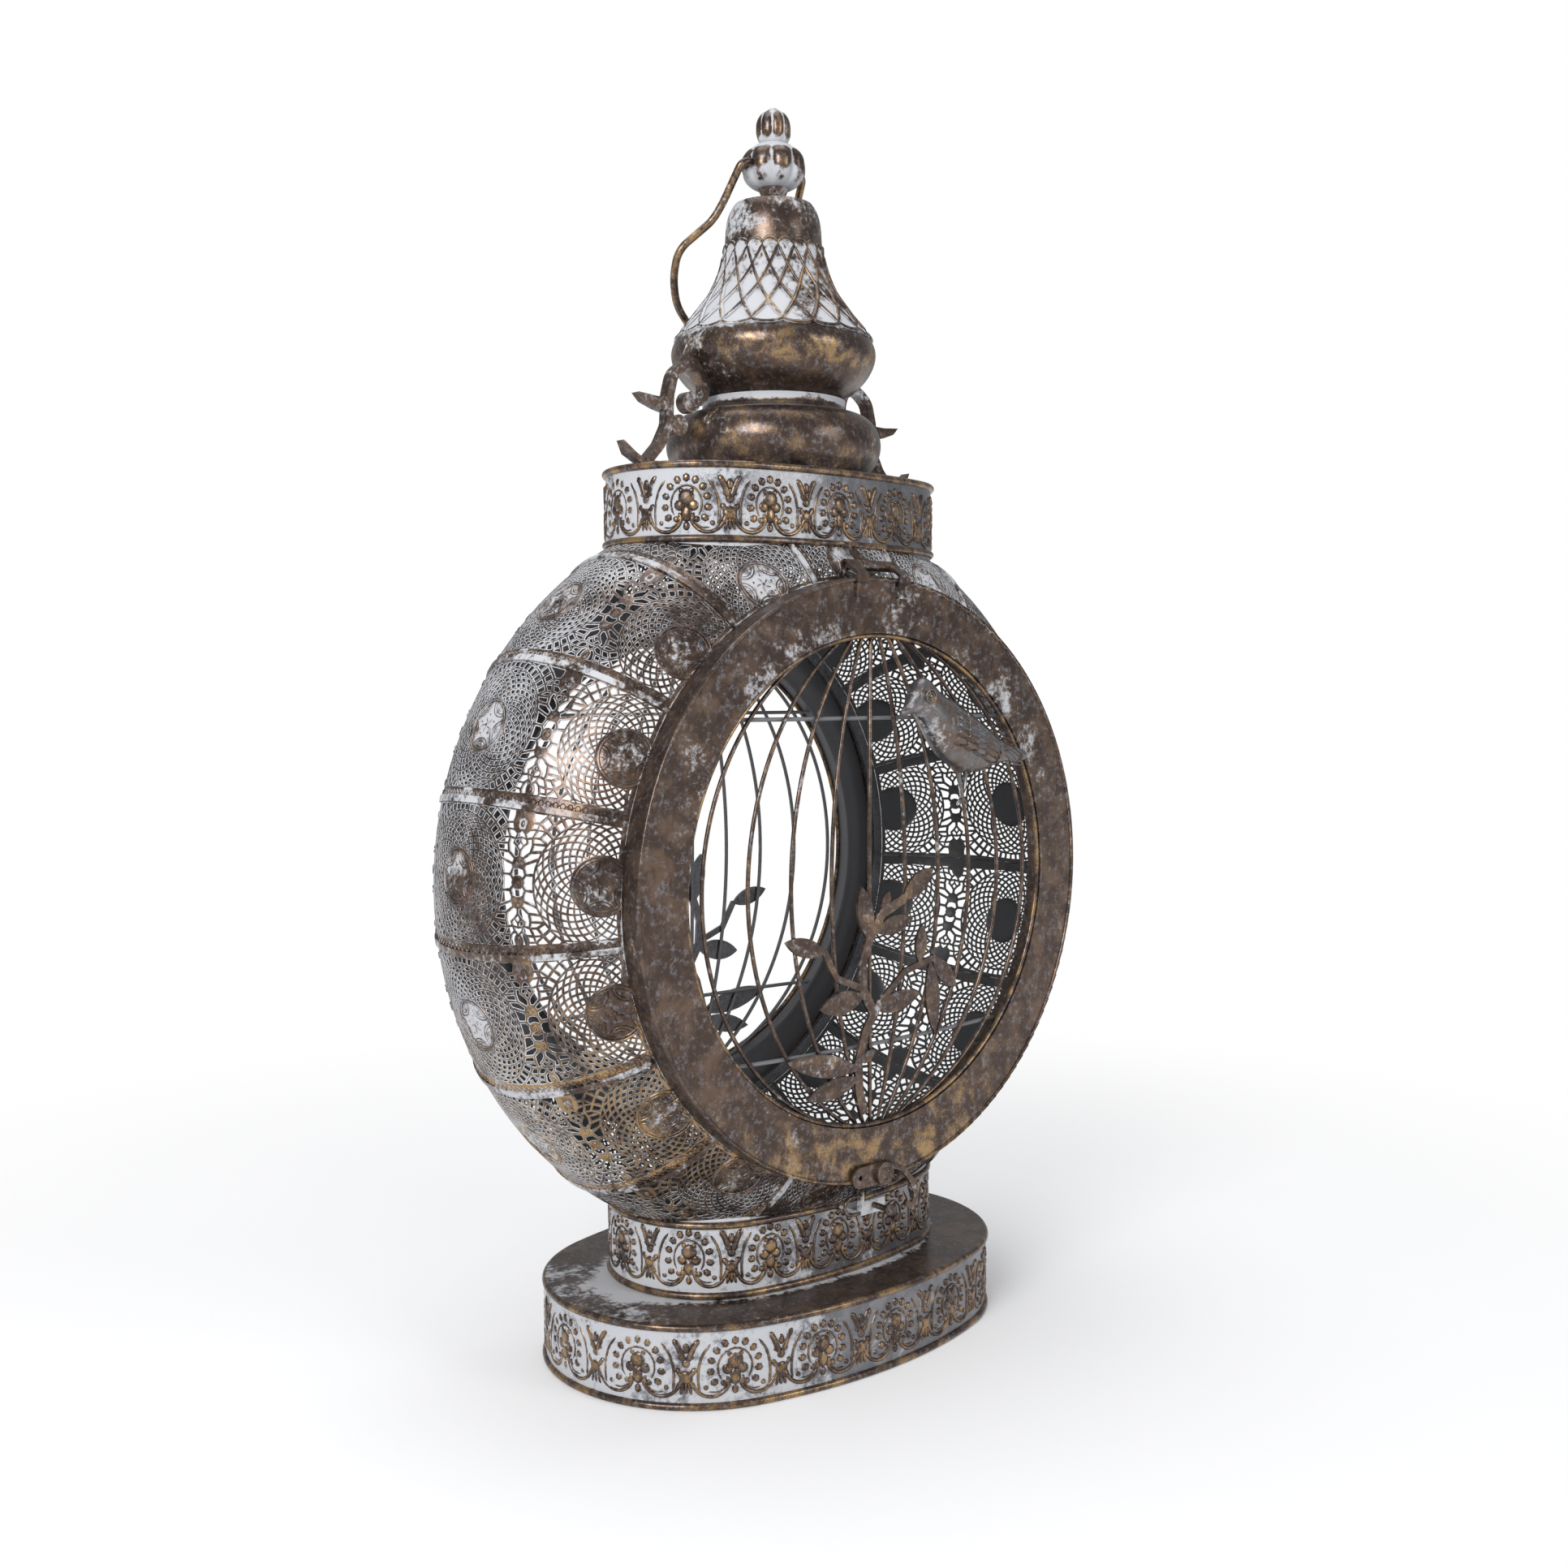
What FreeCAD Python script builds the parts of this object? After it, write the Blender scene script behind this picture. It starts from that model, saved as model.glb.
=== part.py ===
import FreeCAD, Part
import math
import os

# A table lantern: a round pierced drum stands on edge between two oval collars,
# on an oval base. A domed wire grille fills a hinged ring door at the front and a
# fixed ring at the back. A bell and finial stand on top, with a wire bail.
#
# Frame: origin at the centre of the base on the floor, +Z up, the door faces -Y.
# All lengths are in millimetres and all angles in degrees.

Vector = FreeCAD.Vector
X_AXIS = Vector(1, 0, 0)
Y_AXIS = Vector(0, 1, 0)
Z_AXIS = Vector(0, 0, 1)

# ---- Driving dimensions: sheet, clearances, beads ----
SHEET = 1.2
PANEL_SHEET = 0.8
BEAD_RADIUS = 1.6
MOVING_GAP = 0.3
RUNNING_CLEARANCE = 0.05
FIT_GAP = 0.1

# ---- Base, neck and collar: ovals of four tangent arcs ----
BASE_HALF_LENGTH = 113.9
BASE_HALF_WIDTH = 75.5
BASE_HEIGHT = 36.3
NECK_HALF_LENGTH = 83.8
NECK_HALF_WIDTH = 49.6
NECK_HEIGHT = 32.1
COLLAR_HEIGHT = 32.4
END_ARC_RATIO = 0.91        # end arc radius over the oval's half width
EDGE_HIDDEN_IN_DRUM = 12.0  # neck and collar blanks run this far into the drum before they are trimmed
CANDLE_FLOOR_DROP = 5.2     # candle floor below the drum's lowest line at the neck

# ---- Drum ----
DRUM_HALF_DEPTH = 60.0
DRUM_RADIUS = 168.1
DRUM_EDGE_DROP = 37.18      # how much smaller the drum's edge radius is than its crown
PANEL_COUNT = 17
FIRST_SEAM_ANGLE = 187.5    # measured from +X towards +Z
PANEL_GAP = 0.2
SEAM_RIB_WIDTH = 2.8
SEAM_RIB_HEIGHT = 0.9
RIM_THICKNESS = 2.1
RIM_WIDTH = 6.0

# ---- Door ring and the matching back ring ----
DOOR_DEPTH = 7.9
DOOR_RING_WIDTH = 24.12
DOOR_OVERLAP = 0.3          # ring radius past the drum's edge
DOOR_EDGE_BEAD = 0.9
HOOP_WIRE_RADIUS = 1.0
HOOP_SETBACK = 1.4
WIRE_RADIUS = 0.9
WIRE_COUNT = 10
WIRE_SIDE_GAP = 9.9         # from the bore to the outermost wire at mid height
WIRE_FAN_TOP = 4.6
WIRE_FAN_BOTTOM = 3.6
WIRE_SETBACK = 4.3
WIRE_EMBED = 0.6
GRILLE_DOME = 8.5
CROSS_WIRE_RISE = 70.8

# ---- Branch and bird on the grille ----
BRANCH_SHEET = 1.2
STEM_WIDTH = 4.4
TWIG_WIDTH = 2.8
BIRD_LENGTH = 81.4
BIRD_TAIL_INSET = 24.1      # tail's tip from the bore's side
BIRD_TAIL_DROP = 54.3       # tail's tip below the bore's top
BIRD_DEPTH_CENTRE = 8.4     # its middle in front of the wires
LEG_RADIUS = 0.8
LEG_LENGTH = 15.0

# ---- Door hinge ----
HINGE_AHEAD = 3.5           # axis in front of the drum's edge
HINGE_RISE = 5.0            # axis above the door ring's top edge
KNUCKLE_RADIUS = 2.35
HINGE_PIN_RADIUS = 1.2
BODY_KNUCKLE_LENGTH = 13.0
DOOR_KNUCKLE_LENGTH = 9.0
LEAF_WIDTH = 6.5
LEAF_SHEET = 1.1
LEAF_LAP = 5.2
BODY_STRAP_WIDTH = 4.0
PIN_RECESS = 2.0

# ---- Latch ----
LATCH_RISE = 3.6            # pivot above the door ring's lowest point
LATCH_PLATE_LENGTH = 13.6   # pivot to the round end's centre
LATCH_PLATE_END_RADIUS = 4.6
LATCH_HOLE_RADIUS = 1.1
LATCH_SHEET = 1.2
HOOK_THICKNESS = 1.7
HOOK_EYE_RADIUS = 5.0
HOOK_BAND = 2.6
RIVET_RADIUS = 1.3
RIVET_HEAD_RADIUS = 2.9
RIVET_HEAD_HEIGHT = 1.2
STUD_RADIUS = 1.3
STUD_HEAD_RADIUS = 2.4
STUD_HEAD_HEIGHT = 1.0
STUD_DROP = 16.0            # below the latch pivot
STUD_X = 1.0
STRIKE_WIDTH = 14.0
STRIKE_LENGTH = 16.0
STAPLE_RADIUS = 3.9
STAPLE_LEG = 5.0
STAPLE_WIRE_RADIUS = 0.8

# ---- Bun, bell and finial: radii against heights above the piece's own foot ----
BUN_HEIGHT = 35.0
BUN_FOOT_RADIUS = 39.0
BUN_RADIUS = 49.0
BUN_LIP_RADIUS = 33.0
BELL_HEIGHT = 88.0
BELL_FOOT_RADIUS = 30.0
BELL_RADIUS = 46.5
BELL_WAIST_RADIUS = 25.7
BELL_TOP_RADIUS = 20.2
FINIAL_FOOT_HEIGHT = 7.5
FINIAL_FOOT_RADIUS = 9.5
BULB_RADIUS = 15.0
BULB_HALF_HEIGHT = 9.6
TIP_RADIUS = 8.1
TIP_HEIGHT = 17.0
FINIAL_FLANGE_HEIGHT = 1.2
TIP_POINT_HEIGHT = 1.0
ROD_RADIUS = 2.5
ROD_PAST_NUT = 2.0
NUT_RADIUS = 5.0
NUT_HEIGHT = 4.0

# ---- Bail ----
BAIL_WIRE_RADIUS = 1.75
BAIL_EYE_DEPTH = 4.5
BAIL_BEND_OUT = 3.3
BAIL_LENGTH = 84.0
BAIL_REST_GAP = 0.9

# ---- Scroll brackets ----
BRACKET_THICKNESS = 5.4
BRACKET_BAND = 3.8
BRACKET_LARGEST_BEND = 9.0
BRACKET_BALL_RADIUS = 4.6
BRACKET_FOOT_WIDTH = 9.0
BRACKET_FOOT_HEIGHT = 2.6
BRACKET_STANDOFF = 24.5     # foot's middle outward of the bell's widest radius
BRACKET_OVER_BUN = 20.6     # top leaf's tip above the bun

# ---- Places worked out from the dimensions above ----
BASE_OVAL = (BASE_HALF_LENGTH, BASE_HALF_WIDTH)
NECK_OVAL = (NECK_HALF_LENGTH, NECK_HALF_WIDTH)
DRUM_BULGE_RADIUS = (DRUM_HALF_DEPTH ** 2 + DRUM_EDGE_DROP ** 2) / (2 * DRUM_EDGE_DROP)


def drum_radius_at(y, bulge_radius=DRUM_BULGE_RADIUS):
    """Drum radius at a depth, on the outside or on a skin inside it."""
    bulge_centre = DRUM_RADIUS - DRUM_BULGE_RADIUS
    return bulge_centre + math.sqrt(bulge_radius ** 2 - y ** 2)


DRUM_EDGE_RADIUS = drum_radius_at(DRUM_HALF_DEPTH)
NECK_MEETS_DRUM = drum_radius_at(NECK_HALF_WIDTH)
BEAD_MEETS_DRUM = drum_radius_at(NECK_HALF_WIDTH + BEAD_RADIUS)
DRUM_Z = BASE_HEIGHT + NECK_HEIGHT + NECK_MEETS_DRUM
DRUM_CENTRE = Vector(0, 0, DRUM_Z)
NECK_BEAD_Z = DRUM_Z - BEAD_MEETS_DRUM - BEAD_RADIUS - FIT_GAP
COLLAR_BEAD_Z = DRUM_Z + BEAD_MEETS_DRUM + BEAD_RADIUS + FIT_GAP
COLLAR_TOP_Z = DRUM_Z + NECK_MEETS_DRUM + COLLAR_HEIGHT
CANDLE_FLOOR_TOP = BASE_HEIGHT + NECK_HEIGHT - CANDLE_FLOOR_DROP

DOOR_RADIUS = DRUM_EDGE_RADIUS + DOOR_OVERLAP
DOOR_BORE_RADIUS = DOOR_RADIUS - DOOR_RING_WIDTH
BORE_LOW_Z = DRUM_Z - DOOR_BORE_RADIUS
WIRE_PITCH = 2 * (DOOR_BORE_RADIUS - WIRE_SIDE_GAP) / (WIRE_COUNT - 1)
DOOR_BACK_Y = -(DRUM_HALF_DEPTH + RIM_THICKNESS + MOVING_GAP)
DOOR_FRONT_Y = DOOR_BACK_Y - DOOR_DEPTH
DOOR_PROUD_Y = DOOR_FRONT_Y - DOOR_EDGE_BEAD
GRILLE_EDGE_Y = DOOR_FRONT_Y + WIRE_SETBACK
GRILLE_SPHERE = (DOOR_BORE_RADIUS ** 2 + GRILLE_DOME ** 2) / (2 * GRILLE_DOME)
GRILLE_CENTRE_Y = GRILLE_EDGE_Y - GRILLE_DOME + GRILLE_SPHERE

HINGE_Y = -(DRUM_HALF_DEPTH + HINGE_AHEAD)
HINGE_Z = DRUM_Z + DOOR_RADIUS + HINGE_RISE
LATCH_Z = DRUM_Z - DOOR_RADIUS + LATCH_RISE
LATCH_BACK_Y = DOOR_PROUD_Y
HOOK_BACK_Y = LATCH_BACK_Y - LATCH_SHEET - FIT_GAP
HOOK_FRONT_Y = HOOK_BACK_Y - HOOK_THICKNESS
RIVET_FRONT_Y = HOOK_FRONT_Y - FIT_GAP

BUN_TOP_Z = COLLAR_TOP_Z + BUN_HEIGHT
BELL_TOP_Z = BUN_TOP_Z + BELL_HEIGHT
BULB_Z = BELL_TOP_Z + FINIAL_FOOT_HEIGHT + BULB_HALF_HEIGHT
TIP_FOOT_Z = BULB_Z + BULB_HALF_HEIGHT
TOP_Z = TIP_FOOT_Z + TIP_HEIGHT


# ---- Drawing helpers ----
def oval_arcs(oval, offset=0.0):
    """Four tangent arcs of an oval as (centre, radius, start, sweep), in radians."""
    half_length, half_width = oval
    end_radius = END_ARC_RATIO * half_width
    reach = half_length - end_radius
    rise = half_width - end_radius
    drop = (reach ** 2 - rise ** 2) / (2 * rise)
    side_radius = half_width + drop
    joint = math.atan2(drop, reach)
    side_sweep = math.pi - 2 * joint
    return [(Vector(reach, 0, 0), end_radius + offset, -joint, 2 * joint),
            (Vector(0, -drop, 0), side_radius + offset, joint, side_sweep),
            (Vector(-reach, 0, 0), end_radius + offset, math.pi - joint, 2 * joint),
            (Vector(0, drop, 0), side_radius + offset, math.pi + joint, side_sweep)]


def oval_plate(oval, offset, low, high):
    """A flat oval plate between two heights."""
    edges = []
    for centre, radius, start, sweep in oval_arcs(oval, offset):
        points = [centre + Vector(math.cos(a), math.sin(a), 0) * radius
                  for a in (start, start + sweep / 2, start + sweep)]
        edges.append(Part.Arc(*points).toShape())
    plate = Part.Face(Part.Wire(edges)).extrude(Z_AXIS * (high - low))
    plate.translate(Z_AXIS * low)
    return plate


def around_oval(oval, section):
    """Carry a section, drawn as (outward offset, height), once round an oval."""
    pieces = []
    for centre, radius, start, sweep in oval_arcs(oval):
        spoke = Vector(math.cos(start), math.sin(start), 0)

        def place(offset, height):
            return centre + spoke * (radius + offset) + Z_AXIS * height

        face = Part.Face(section(place))
        pieces.append(face.revolve(centre, Z_AXIS, math.degrees(sweep)))
    return pieces[0].multiFuse(pieces[1:]).removeSplitter()


def wall_section(inner, outer, low, high):
    """A standing wall between two offsets and two heights."""
    corners = [(inner, low), (outer, low), (outer, high), (inner, high), (inner, low)]
    return lambda place: Part.makePolygon([place(*corner) for corner in corners])


def bead_section(height, radius):
    """A half-round bead whose flat side lies on the wall."""
    def draw(place):
        low, crown, high = place(0, height - radius), place(radius, height), place(0, height + radius)
        return Part.Wire([Part.Arc(low, crown, high).toShape(), Part.LineSegment(high, low).toShape()])
    return draw


def oval_beads(oval, heights):
    return Part.Compound([around_oval(oval, bead_section(height, BEAD_RADIUS)) for height in heights])


def turned(profile, smooth_span=None):
    """Turn an outline of (radius, height) points round the Z axis."""
    points = [Vector(radius, 0, height) for radius, height in profile]
    edges = []
    first, last = smooth_span or (0, 0)
    if smooth_span:
        curve = Part.BSplineCurve()
        curve.interpolate(points[first:last + 1])
        edges.append(curve.toShape())
    loop = points + [points[0]]
    for i in range(len(points)):
        if not first <= i < last:
            edges.append(Part.LineSegment(loop[i], loop[i + 1]).toShape())
    wire = Part.Wire(Part.__sortEdges__(edges))
    return Part.Face(wire).revolve(Vector(), Z_AXIS, 360)


def drum_point(radius, y):
    return Vector(radius, y, DRUM_Z)


def about_drum(wire, start=0.0, sweep=360.0):
    """Turn a section drawn at +X round the drum's axis, from +X towards +Z."""
    piece = Part.Face(wire).revolve(DRUM_CENTRE, -Y_AXIS, sweep)
    if start:
        piece.rotate(DRUM_CENTRE, -Y_AXIS, start)
    return piece


def arc_rod(start, middle, end, radius):
    """A round rod along the arc through three points."""
    edge = Part.Arc(start, middle, end).toShape()
    circle = edge.Curve
    tangent = circle.Axis.cross(start - circle.Center)
    face = Part.Face(Part.Wire(Part.makeCircle(radius, start, tangent)))
    return face.revolve(circle.Center, circle.Axis, math.degrees(edge.LastParameter - edge.FirstParameter))


def rod(start, end, radius):
    return Part.makeCylinder(radius, (end - start).Length, start, end - start)


def rounded_path(points, largest=1e6):
    """Straight runs joined by tangent arcs, each as large as its two runs allow."""
    edges = []
    here = points[0]
    for before, corner, after in zip(points, points[1:], points[2:]):
        to_corner = (corner - before).normalize()
        from_corner = (after - corner).normalize()
        half_turn = to_corner.getAngle(from_corner) / 2
        room = 0.45 * min((corner - before).Length, (after - corner).Length)
        radius = min(room / math.tan(half_turn), largest)
        setback = radius * math.tan(half_turn)
        arc_start = corner - to_corner * setback
        arc_end = corner + from_corner * setback
        inward = (from_corner - to_corner).normalize()
        arc_middle = corner + inward * (radius / math.cos(half_turn) - radius)
        edges.append(Part.LineSegment(here, arc_start).toShape())
        edges.append(Part.Arc(arc_start, arc_middle, arc_end).toShape())
        here = arc_end
    edges.append(Part.LineSegment(here, points[-1]).toShape())
    return Part.Wire(edges)


def swept(path, section):
    return Part.Solid(path.makePipeShell([section], True, True))


def round_bar(points, radius, largest=1e6):
    """A round wire along straight runs and tangent arcs."""
    path = rounded_path(points, largest)
    return swept(path, Part.Wire(Part.makeCircle(radius, points[0], points[1] - points[0])))


def flat_bar(points, band, thickness, largest=1e6):
    """A flat bar whose broad face is square to Y, along runs in an XZ plane."""
    path = rounded_path(points, largest)
    across = (points[1] - points[0]).normalize().cross(Y_AXIS) * (band / 2)
    deep = Y_AXIS * (thickness / 2)
    start = points[0]
    corners = [start - across - deep, start + across - deep, start + across + deep, start - across + deep]
    return swept(path, Part.makePolygon(corners + corners[:1]))


def prism_along_y(outline, front, back):
    """An outline of (x, z) points, from a front depth to a back depth."""
    wire = Part.makePolygon([Vector(x, front, z) for x, z in outline + outline[:1]])
    return Part.Face(wire).extrude(Y_AXIS * (back - front))


def strip_along_x(outline, left, right):
    """An outline of (y, z) points, from a left to a right place."""
    wire = Part.makePolygon([Vector(left, y, z) for y, z in outline + outline[:1]])
    return Part.Face(wire).extrude(X_AXIS * (right - left))


def to_the_back(shape):
    """The back ring's twin of a door piece: turned round, and closed against its rim."""
    twin = shape.copy()
    twin.rotate(Vector(), Z_AXIS, 180)
    twin.translate(-Y_AXIS * MOVING_GAP)
    return twin


def joined(pieces):
    return pieces[0].multiFuse(pieces[1:]).removeSplitter() if len(pieces) > 1 else pieces[0]


# ---- Base, neck and collar ----
def base_pieces():
    plate_low = BASE_HEIGHT - SHEET
    return {
        "base_floor": oval_plate(BASE_OVAL, -SHEET, 0, SHEET),
        "base_band": around_oval(BASE_OVAL, wall_section(-SHEET, 0, 0, plate_low)),
        "base_beads": oval_beads(BASE_OVAL, (BEAD_RADIUS, BASE_HEIGHT - BEAD_RADIUS)),
        "base_top_plate": oval_plate(BASE_OVAL, 0, plate_low, BASE_HEIGHT),
    }


def drum_body():
    """The drum's outer form, filled."""
    edge = DRUM_EDGE_RADIUS
    front, back = drum_point(edge, -DRUM_HALF_DEPTH), drum_point(edge, DRUM_HALF_DEPTH)
    crown = drum_point(DRUM_RADIUS, 0)
    wire = Part.Wire([Part.LineSegment(drum_point(0, -DRUM_HALF_DEPTH), front).toShape(),
                      Part.Arc(front, crown, back).toShape(),
                      Part.LineSegment(back, drum_point(0, DRUM_HALF_DEPTH)).toShape(),
                      Part.LineSegment(drum_point(0, DRUM_HALF_DEPTH),
                                       drum_point(0, -DRUM_HALF_DEPTH)).toShape()])
    return about_drum(wire)


def neck_pieces(drum):
    into_drum = NECK_MEETS_DRUM - EDGE_HIDDEN_IN_DRUM
    wall = wall_section(-SHEET, 0, BASE_HEIGHT, DRUM_Z - into_drum)
    floor_low = CANDLE_FLOOR_TOP - SHEET
    return {
        "neck_band": around_oval(NECK_OVAL, wall).cut(drum),
        "neck_beads": oval_beads(NECK_OVAL, (BASE_HEIGHT + BEAD_RADIUS, NECK_BEAD_Z)).cut(drum),
        "candle_floor": oval_plate(NECK_OVAL, -SHEET, floor_low, CANDLE_FLOOR_TOP),
    }


def collar_pieces(drum):
    plate_low = COLLAR_TOP_Z - SHEET
    into_drum = NECK_MEETS_DRUM - EDGE_HIDDEN_IN_DRUM
    plate = oval_plate(NECK_OVAL, 0, plate_low, COLLAR_TOP_Z)
    rod_hole = rod(Z_AXIS * (plate_low - SHEET), Z_AXIS * (COLLAR_TOP_Z + SHEET), ROD_RADIUS)
    wall = wall_section(-SHEET, 0, DRUM_Z + into_drum, plate_low)
    return {
        "collar_band": around_oval(NECK_OVAL, wall).cut(drum),
        "collar_beads": oval_beads(NECK_OVAL, (COLLAR_BEAD_Z, COLLAR_TOP_Z - BEAD_RADIUS)).cut(drum),
        "collar_top_plate": plate.cut(rod_hole),
    }


# ---- Drum ----
def skin_section(inner_lift, outer_lift, half_depth):
    """The drum's arc between two skins, measured outward from its outer form."""
    def skin(lift):
        bulge = DRUM_BULGE_RADIUS + lift
        return [drum_point(drum_radius_at(y, bulge), y) for y in (-half_depth, 0, half_depth)]

    outer, inner = skin(outer_lift), skin(inner_lift)
    return Part.Wire([Part.Arc(*outer).toShape(), Part.LineSegment(outer[2], inner[2]).toShape(),
                      Part.Arc(inner[2], inner[1], inner[0]).toShape(),
                      Part.LineSegment(inner[0], outer[0]).toShape()])


def drum_pieces():
    """Pierced gore panels, the ribs that cover their seams, and the two rims."""
    pitch = 360.0 / PANEL_COUNT
    gap = math.degrees(PANEL_GAP / DRUM_RADIUS)
    rib = math.degrees(SEAM_RIB_WIDTH / DRUM_RADIUS)
    low, high = 0, COLLAR_TOP_Z
    neck_core = oval_plate(NECK_OVAL, -SHEET, low, high)
    neck_outside = oval_plate(NECK_OVAL, BEAD_RADIUS + FIT_GAP, low, high)
    pieces = {}
    ribs = []
    for number in range(PANEL_COUNT):
        seam = FIRST_SEAM_ANGLE + number * pitch
        panel = about_drum(skin_section(-PANEL_SHEET, 0, DRUM_HALF_DEPTH), seam + gap / 2, pitch - gap)
        pieces["panel_%02d" % (number + 1)] = panel.cut(neck_core)
        strip = about_drum(skin_section(0, SEAM_RIB_HEIGHT, DRUM_HALF_DEPTH), seam - rib / 2, rib)
        ribs.extend(strip.cut(neck_outside).Solids)
    pieces["seam_ribs"] = Part.Compound(ribs)
    rim_inner = DRUM_EDGE_RADIUS - RIM_WIDTH
    corners = [drum_point(rim_inner, -DRUM_HALF_DEPTH), drum_point(DRUM_EDGE_RADIUS, -DRUM_HALF_DEPTH),
               drum_point(DRUM_EDGE_RADIUS, -DRUM_HALF_DEPTH - RIM_THICKNESS),
               drum_point(rim_inner, -DRUM_HALF_DEPTH - RIM_THICKNESS)]
    front_rim = about_drum(Part.makePolygon(corners + corners[:1]))
    back_rim = front_rim.copy()
    back_rim.rotate(Vector(), Z_AXIS, 180)
    pieces["front_rim"] = front_rim
    pieces["back_rim"] = back_rim
    return pieces


# ---- Ring, hoop and grille, for the door and again for the back ----
def ring_channel():
    """A sheet ring with a flange at its bore and its edge, and a bead on the edge."""
    outer, bore = DOOR_RADIUS, DOOR_BORE_RADIUS
    crown = outer - DOOR_EDGE_BEAD
    bead_end = outer - 2 * DOOR_EDGE_BEAD
    back, front = DOOR_BACK_Y, DOOR_FRONT_Y
    face = front + SHEET
    points = [drum_point(bead_end, front), drum_point(bore, front), drum_point(bore, back),
              drum_point(bore + SHEET, back), drum_point(bore + SHEET, face),
              drum_point(outer - SHEET, face), drum_point(outer - SHEET, back),
              drum_point(outer, back), drum_point(outer, front)]
    edges = [Part.LineSegment(a, b).toShape() for a, b in zip(points, points[1:])]
    edges.append(Part.Arc(points[-1], drum_point(crown, DOOR_PROUD_Y), points[0]).toShape())
    return about_drum(Part.Wire(edges))


def hoop():
    y = DOOR_FRONT_Y + HOOP_SETBACK
    centre = Vector(0, y, DRUM_Z)
    return Part.makeTorus(DOOR_BORE_RADIUS - HOOP_WIRE_RADIUS, HOOP_WIRE_RADIUS, centre, Y_AXIS)


def on_dome(x, rise, lift=0.0):
    """The point of the domed grille at a place, lifted outward from the wires' centres."""
    sphere = GRILLE_SPHERE + lift
    return Vector(x, GRILLE_CENTRE_Y - math.sqrt(sphere ** 2 - x ** 2 - rise ** 2), DRUM_Z + rise)


def bore_fill():
    depth = DOOR_DEPTH + 2 * GRILLE_DOME
    return Part.makeCylinder(DOOR_BORE_RADIUS, 2 * depth, Vector(0, DOOR_BACK_Y - depth, DRUM_Z), Y_AXIS)


def grille_wires():
    wires = []
    reach = DOOR_BORE_RADIUS + WIRE_EMBED
    for number in range(WIRE_COUNT):
        place = number - (WIRE_COUNT - 1) / 2
        top_x, low_x = place * WIRE_FAN_TOP, place * WIRE_FAN_BOTTOM
        top = on_dome(top_x, math.sqrt(reach ** 2 - top_x ** 2))
        low = on_dome(low_x, -math.sqrt(reach ** 2 - low_x ** 2))
        wires.append(arc_rod(top, on_dome(place * WIRE_PITCH, 0), low, WIRE_RADIUS).common(bore_fill()))
    return Part.Compound(wires)


def cross_wires():
    wires = []
    for rise in (CROSS_WIRE_RISE, -CROSS_WIRE_RISE):
        half = math.sqrt((DOOR_BORE_RADIUS + WIRE_EMBED) ** 2 - rise ** 2)
        behind = -2 * WIRE_RADIUS
        ends = [on_dome(x, rise, behind) for x in (-half, 0, half)]
        wires.append(arc_rod(*ends, WIRE_RADIUS).common(bore_fill()))
    return Part.Compound(wires)


# ---- Branch: a flat cut-out, dished to lie on the wires ----
# Places are (x, rise) from the lowest point of a bore of the drawn radius, and scale with the door's.
BRANCH_DRAWN_BORE = 107.1
STEM = [(-8.2, 6.1), (-12.5, 17.1), (-14.7, 29.5), (-11.8, 43.1), (-7.5, 51.0), (-14.5, 61.4),
        (-15.8, 73.4), (-12.0, 83.8), (-4.7, 94.3), (7.7, 99.2)]
TWIGS = [[(-14.2, 62.4), (-30.0, 68.6), (-37.1, 80.2)],
         [(-8.5, 52.1), (10.4, 67.2), (28.9, 71.3)]]
LEAVES = [((7.7, 99.2), (27.1, 111.2), 9.0), ((-4.7, 94.3), (-0.8, 103.4), 5.0),
          ((-12.0, 82.8), (-17.4, 106.9), 9.0), ((-9.0, 86.6), (14.3, 90.4), 8.0),
          ((-37.1, 80.2), (-58.0, 86.4), 8.0), ((-14.2, 59.1), (-38.5, 56.1), 10.0),
          ((-7.5, 52.6), (20.7, 56.3), 9.0), ((28.0, 71.3), (45.5, 56.2), 8.0),
          ((19.6, 69.6), (20.5, 87.0), 7.0), ((26.4, 70.6), (32.9, 36.2), 9.0),
          ((-14.0, 27.2), (-54.4, 35.5), 10.0), ((-13.4, 23.1), (-42.1, 17.5), 9.0),
          ((-13.5, 30.1), (-5.0, 34.1), 5.0)]


def branch_place(place):
    """A drawn place of the branch as (x, z)."""
    scale = DOOR_BORE_RADIUS / BRANCH_DRAWN_BORE
    return place[0] * scale, BORE_LOW_Z + place[1] * scale


def strip_outline(start, end, width):
    run = (end[0] - start[0], end[1] - start[1])
    length = math.hypot(*run)
    side = (-run[1] / length * width / 2, run[0] / length * width / 2)
    return [(start[0] - side[0], start[1] - side[1]), (end[0] - side[0], end[1] - side[1]),
            (end[0] + side[0], end[1] + side[1]), (start[0] + side[0], start[1] + side[1])]


def leaf_blank(base, tip, width, front, back):
    """A leaf between two arcs that meet at its base and its tip."""
    middle = ((base[0] + tip[0]) / 2, (base[1] + tip[1]) / 2)
    run = (tip[0] - base[0], tip[1] - base[1])
    length = math.hypot(*run)
    side = (-run[1] / length * width / 2, run[0] / length * width / 2)

    def at(x, z):
        return Vector(x, front, z)

    one = Part.Arc(at(*base), at(middle[0] + side[0], middle[1] + side[1]), at(*tip))
    other = Part.Arc(at(*tip), at(middle[0] - side[0], middle[1] - side[1]), at(*base))
    return Part.Face(Part.Wire([one.toShape(), other.toShape()])).extrude(Y_AXIS * (back - front))


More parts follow.
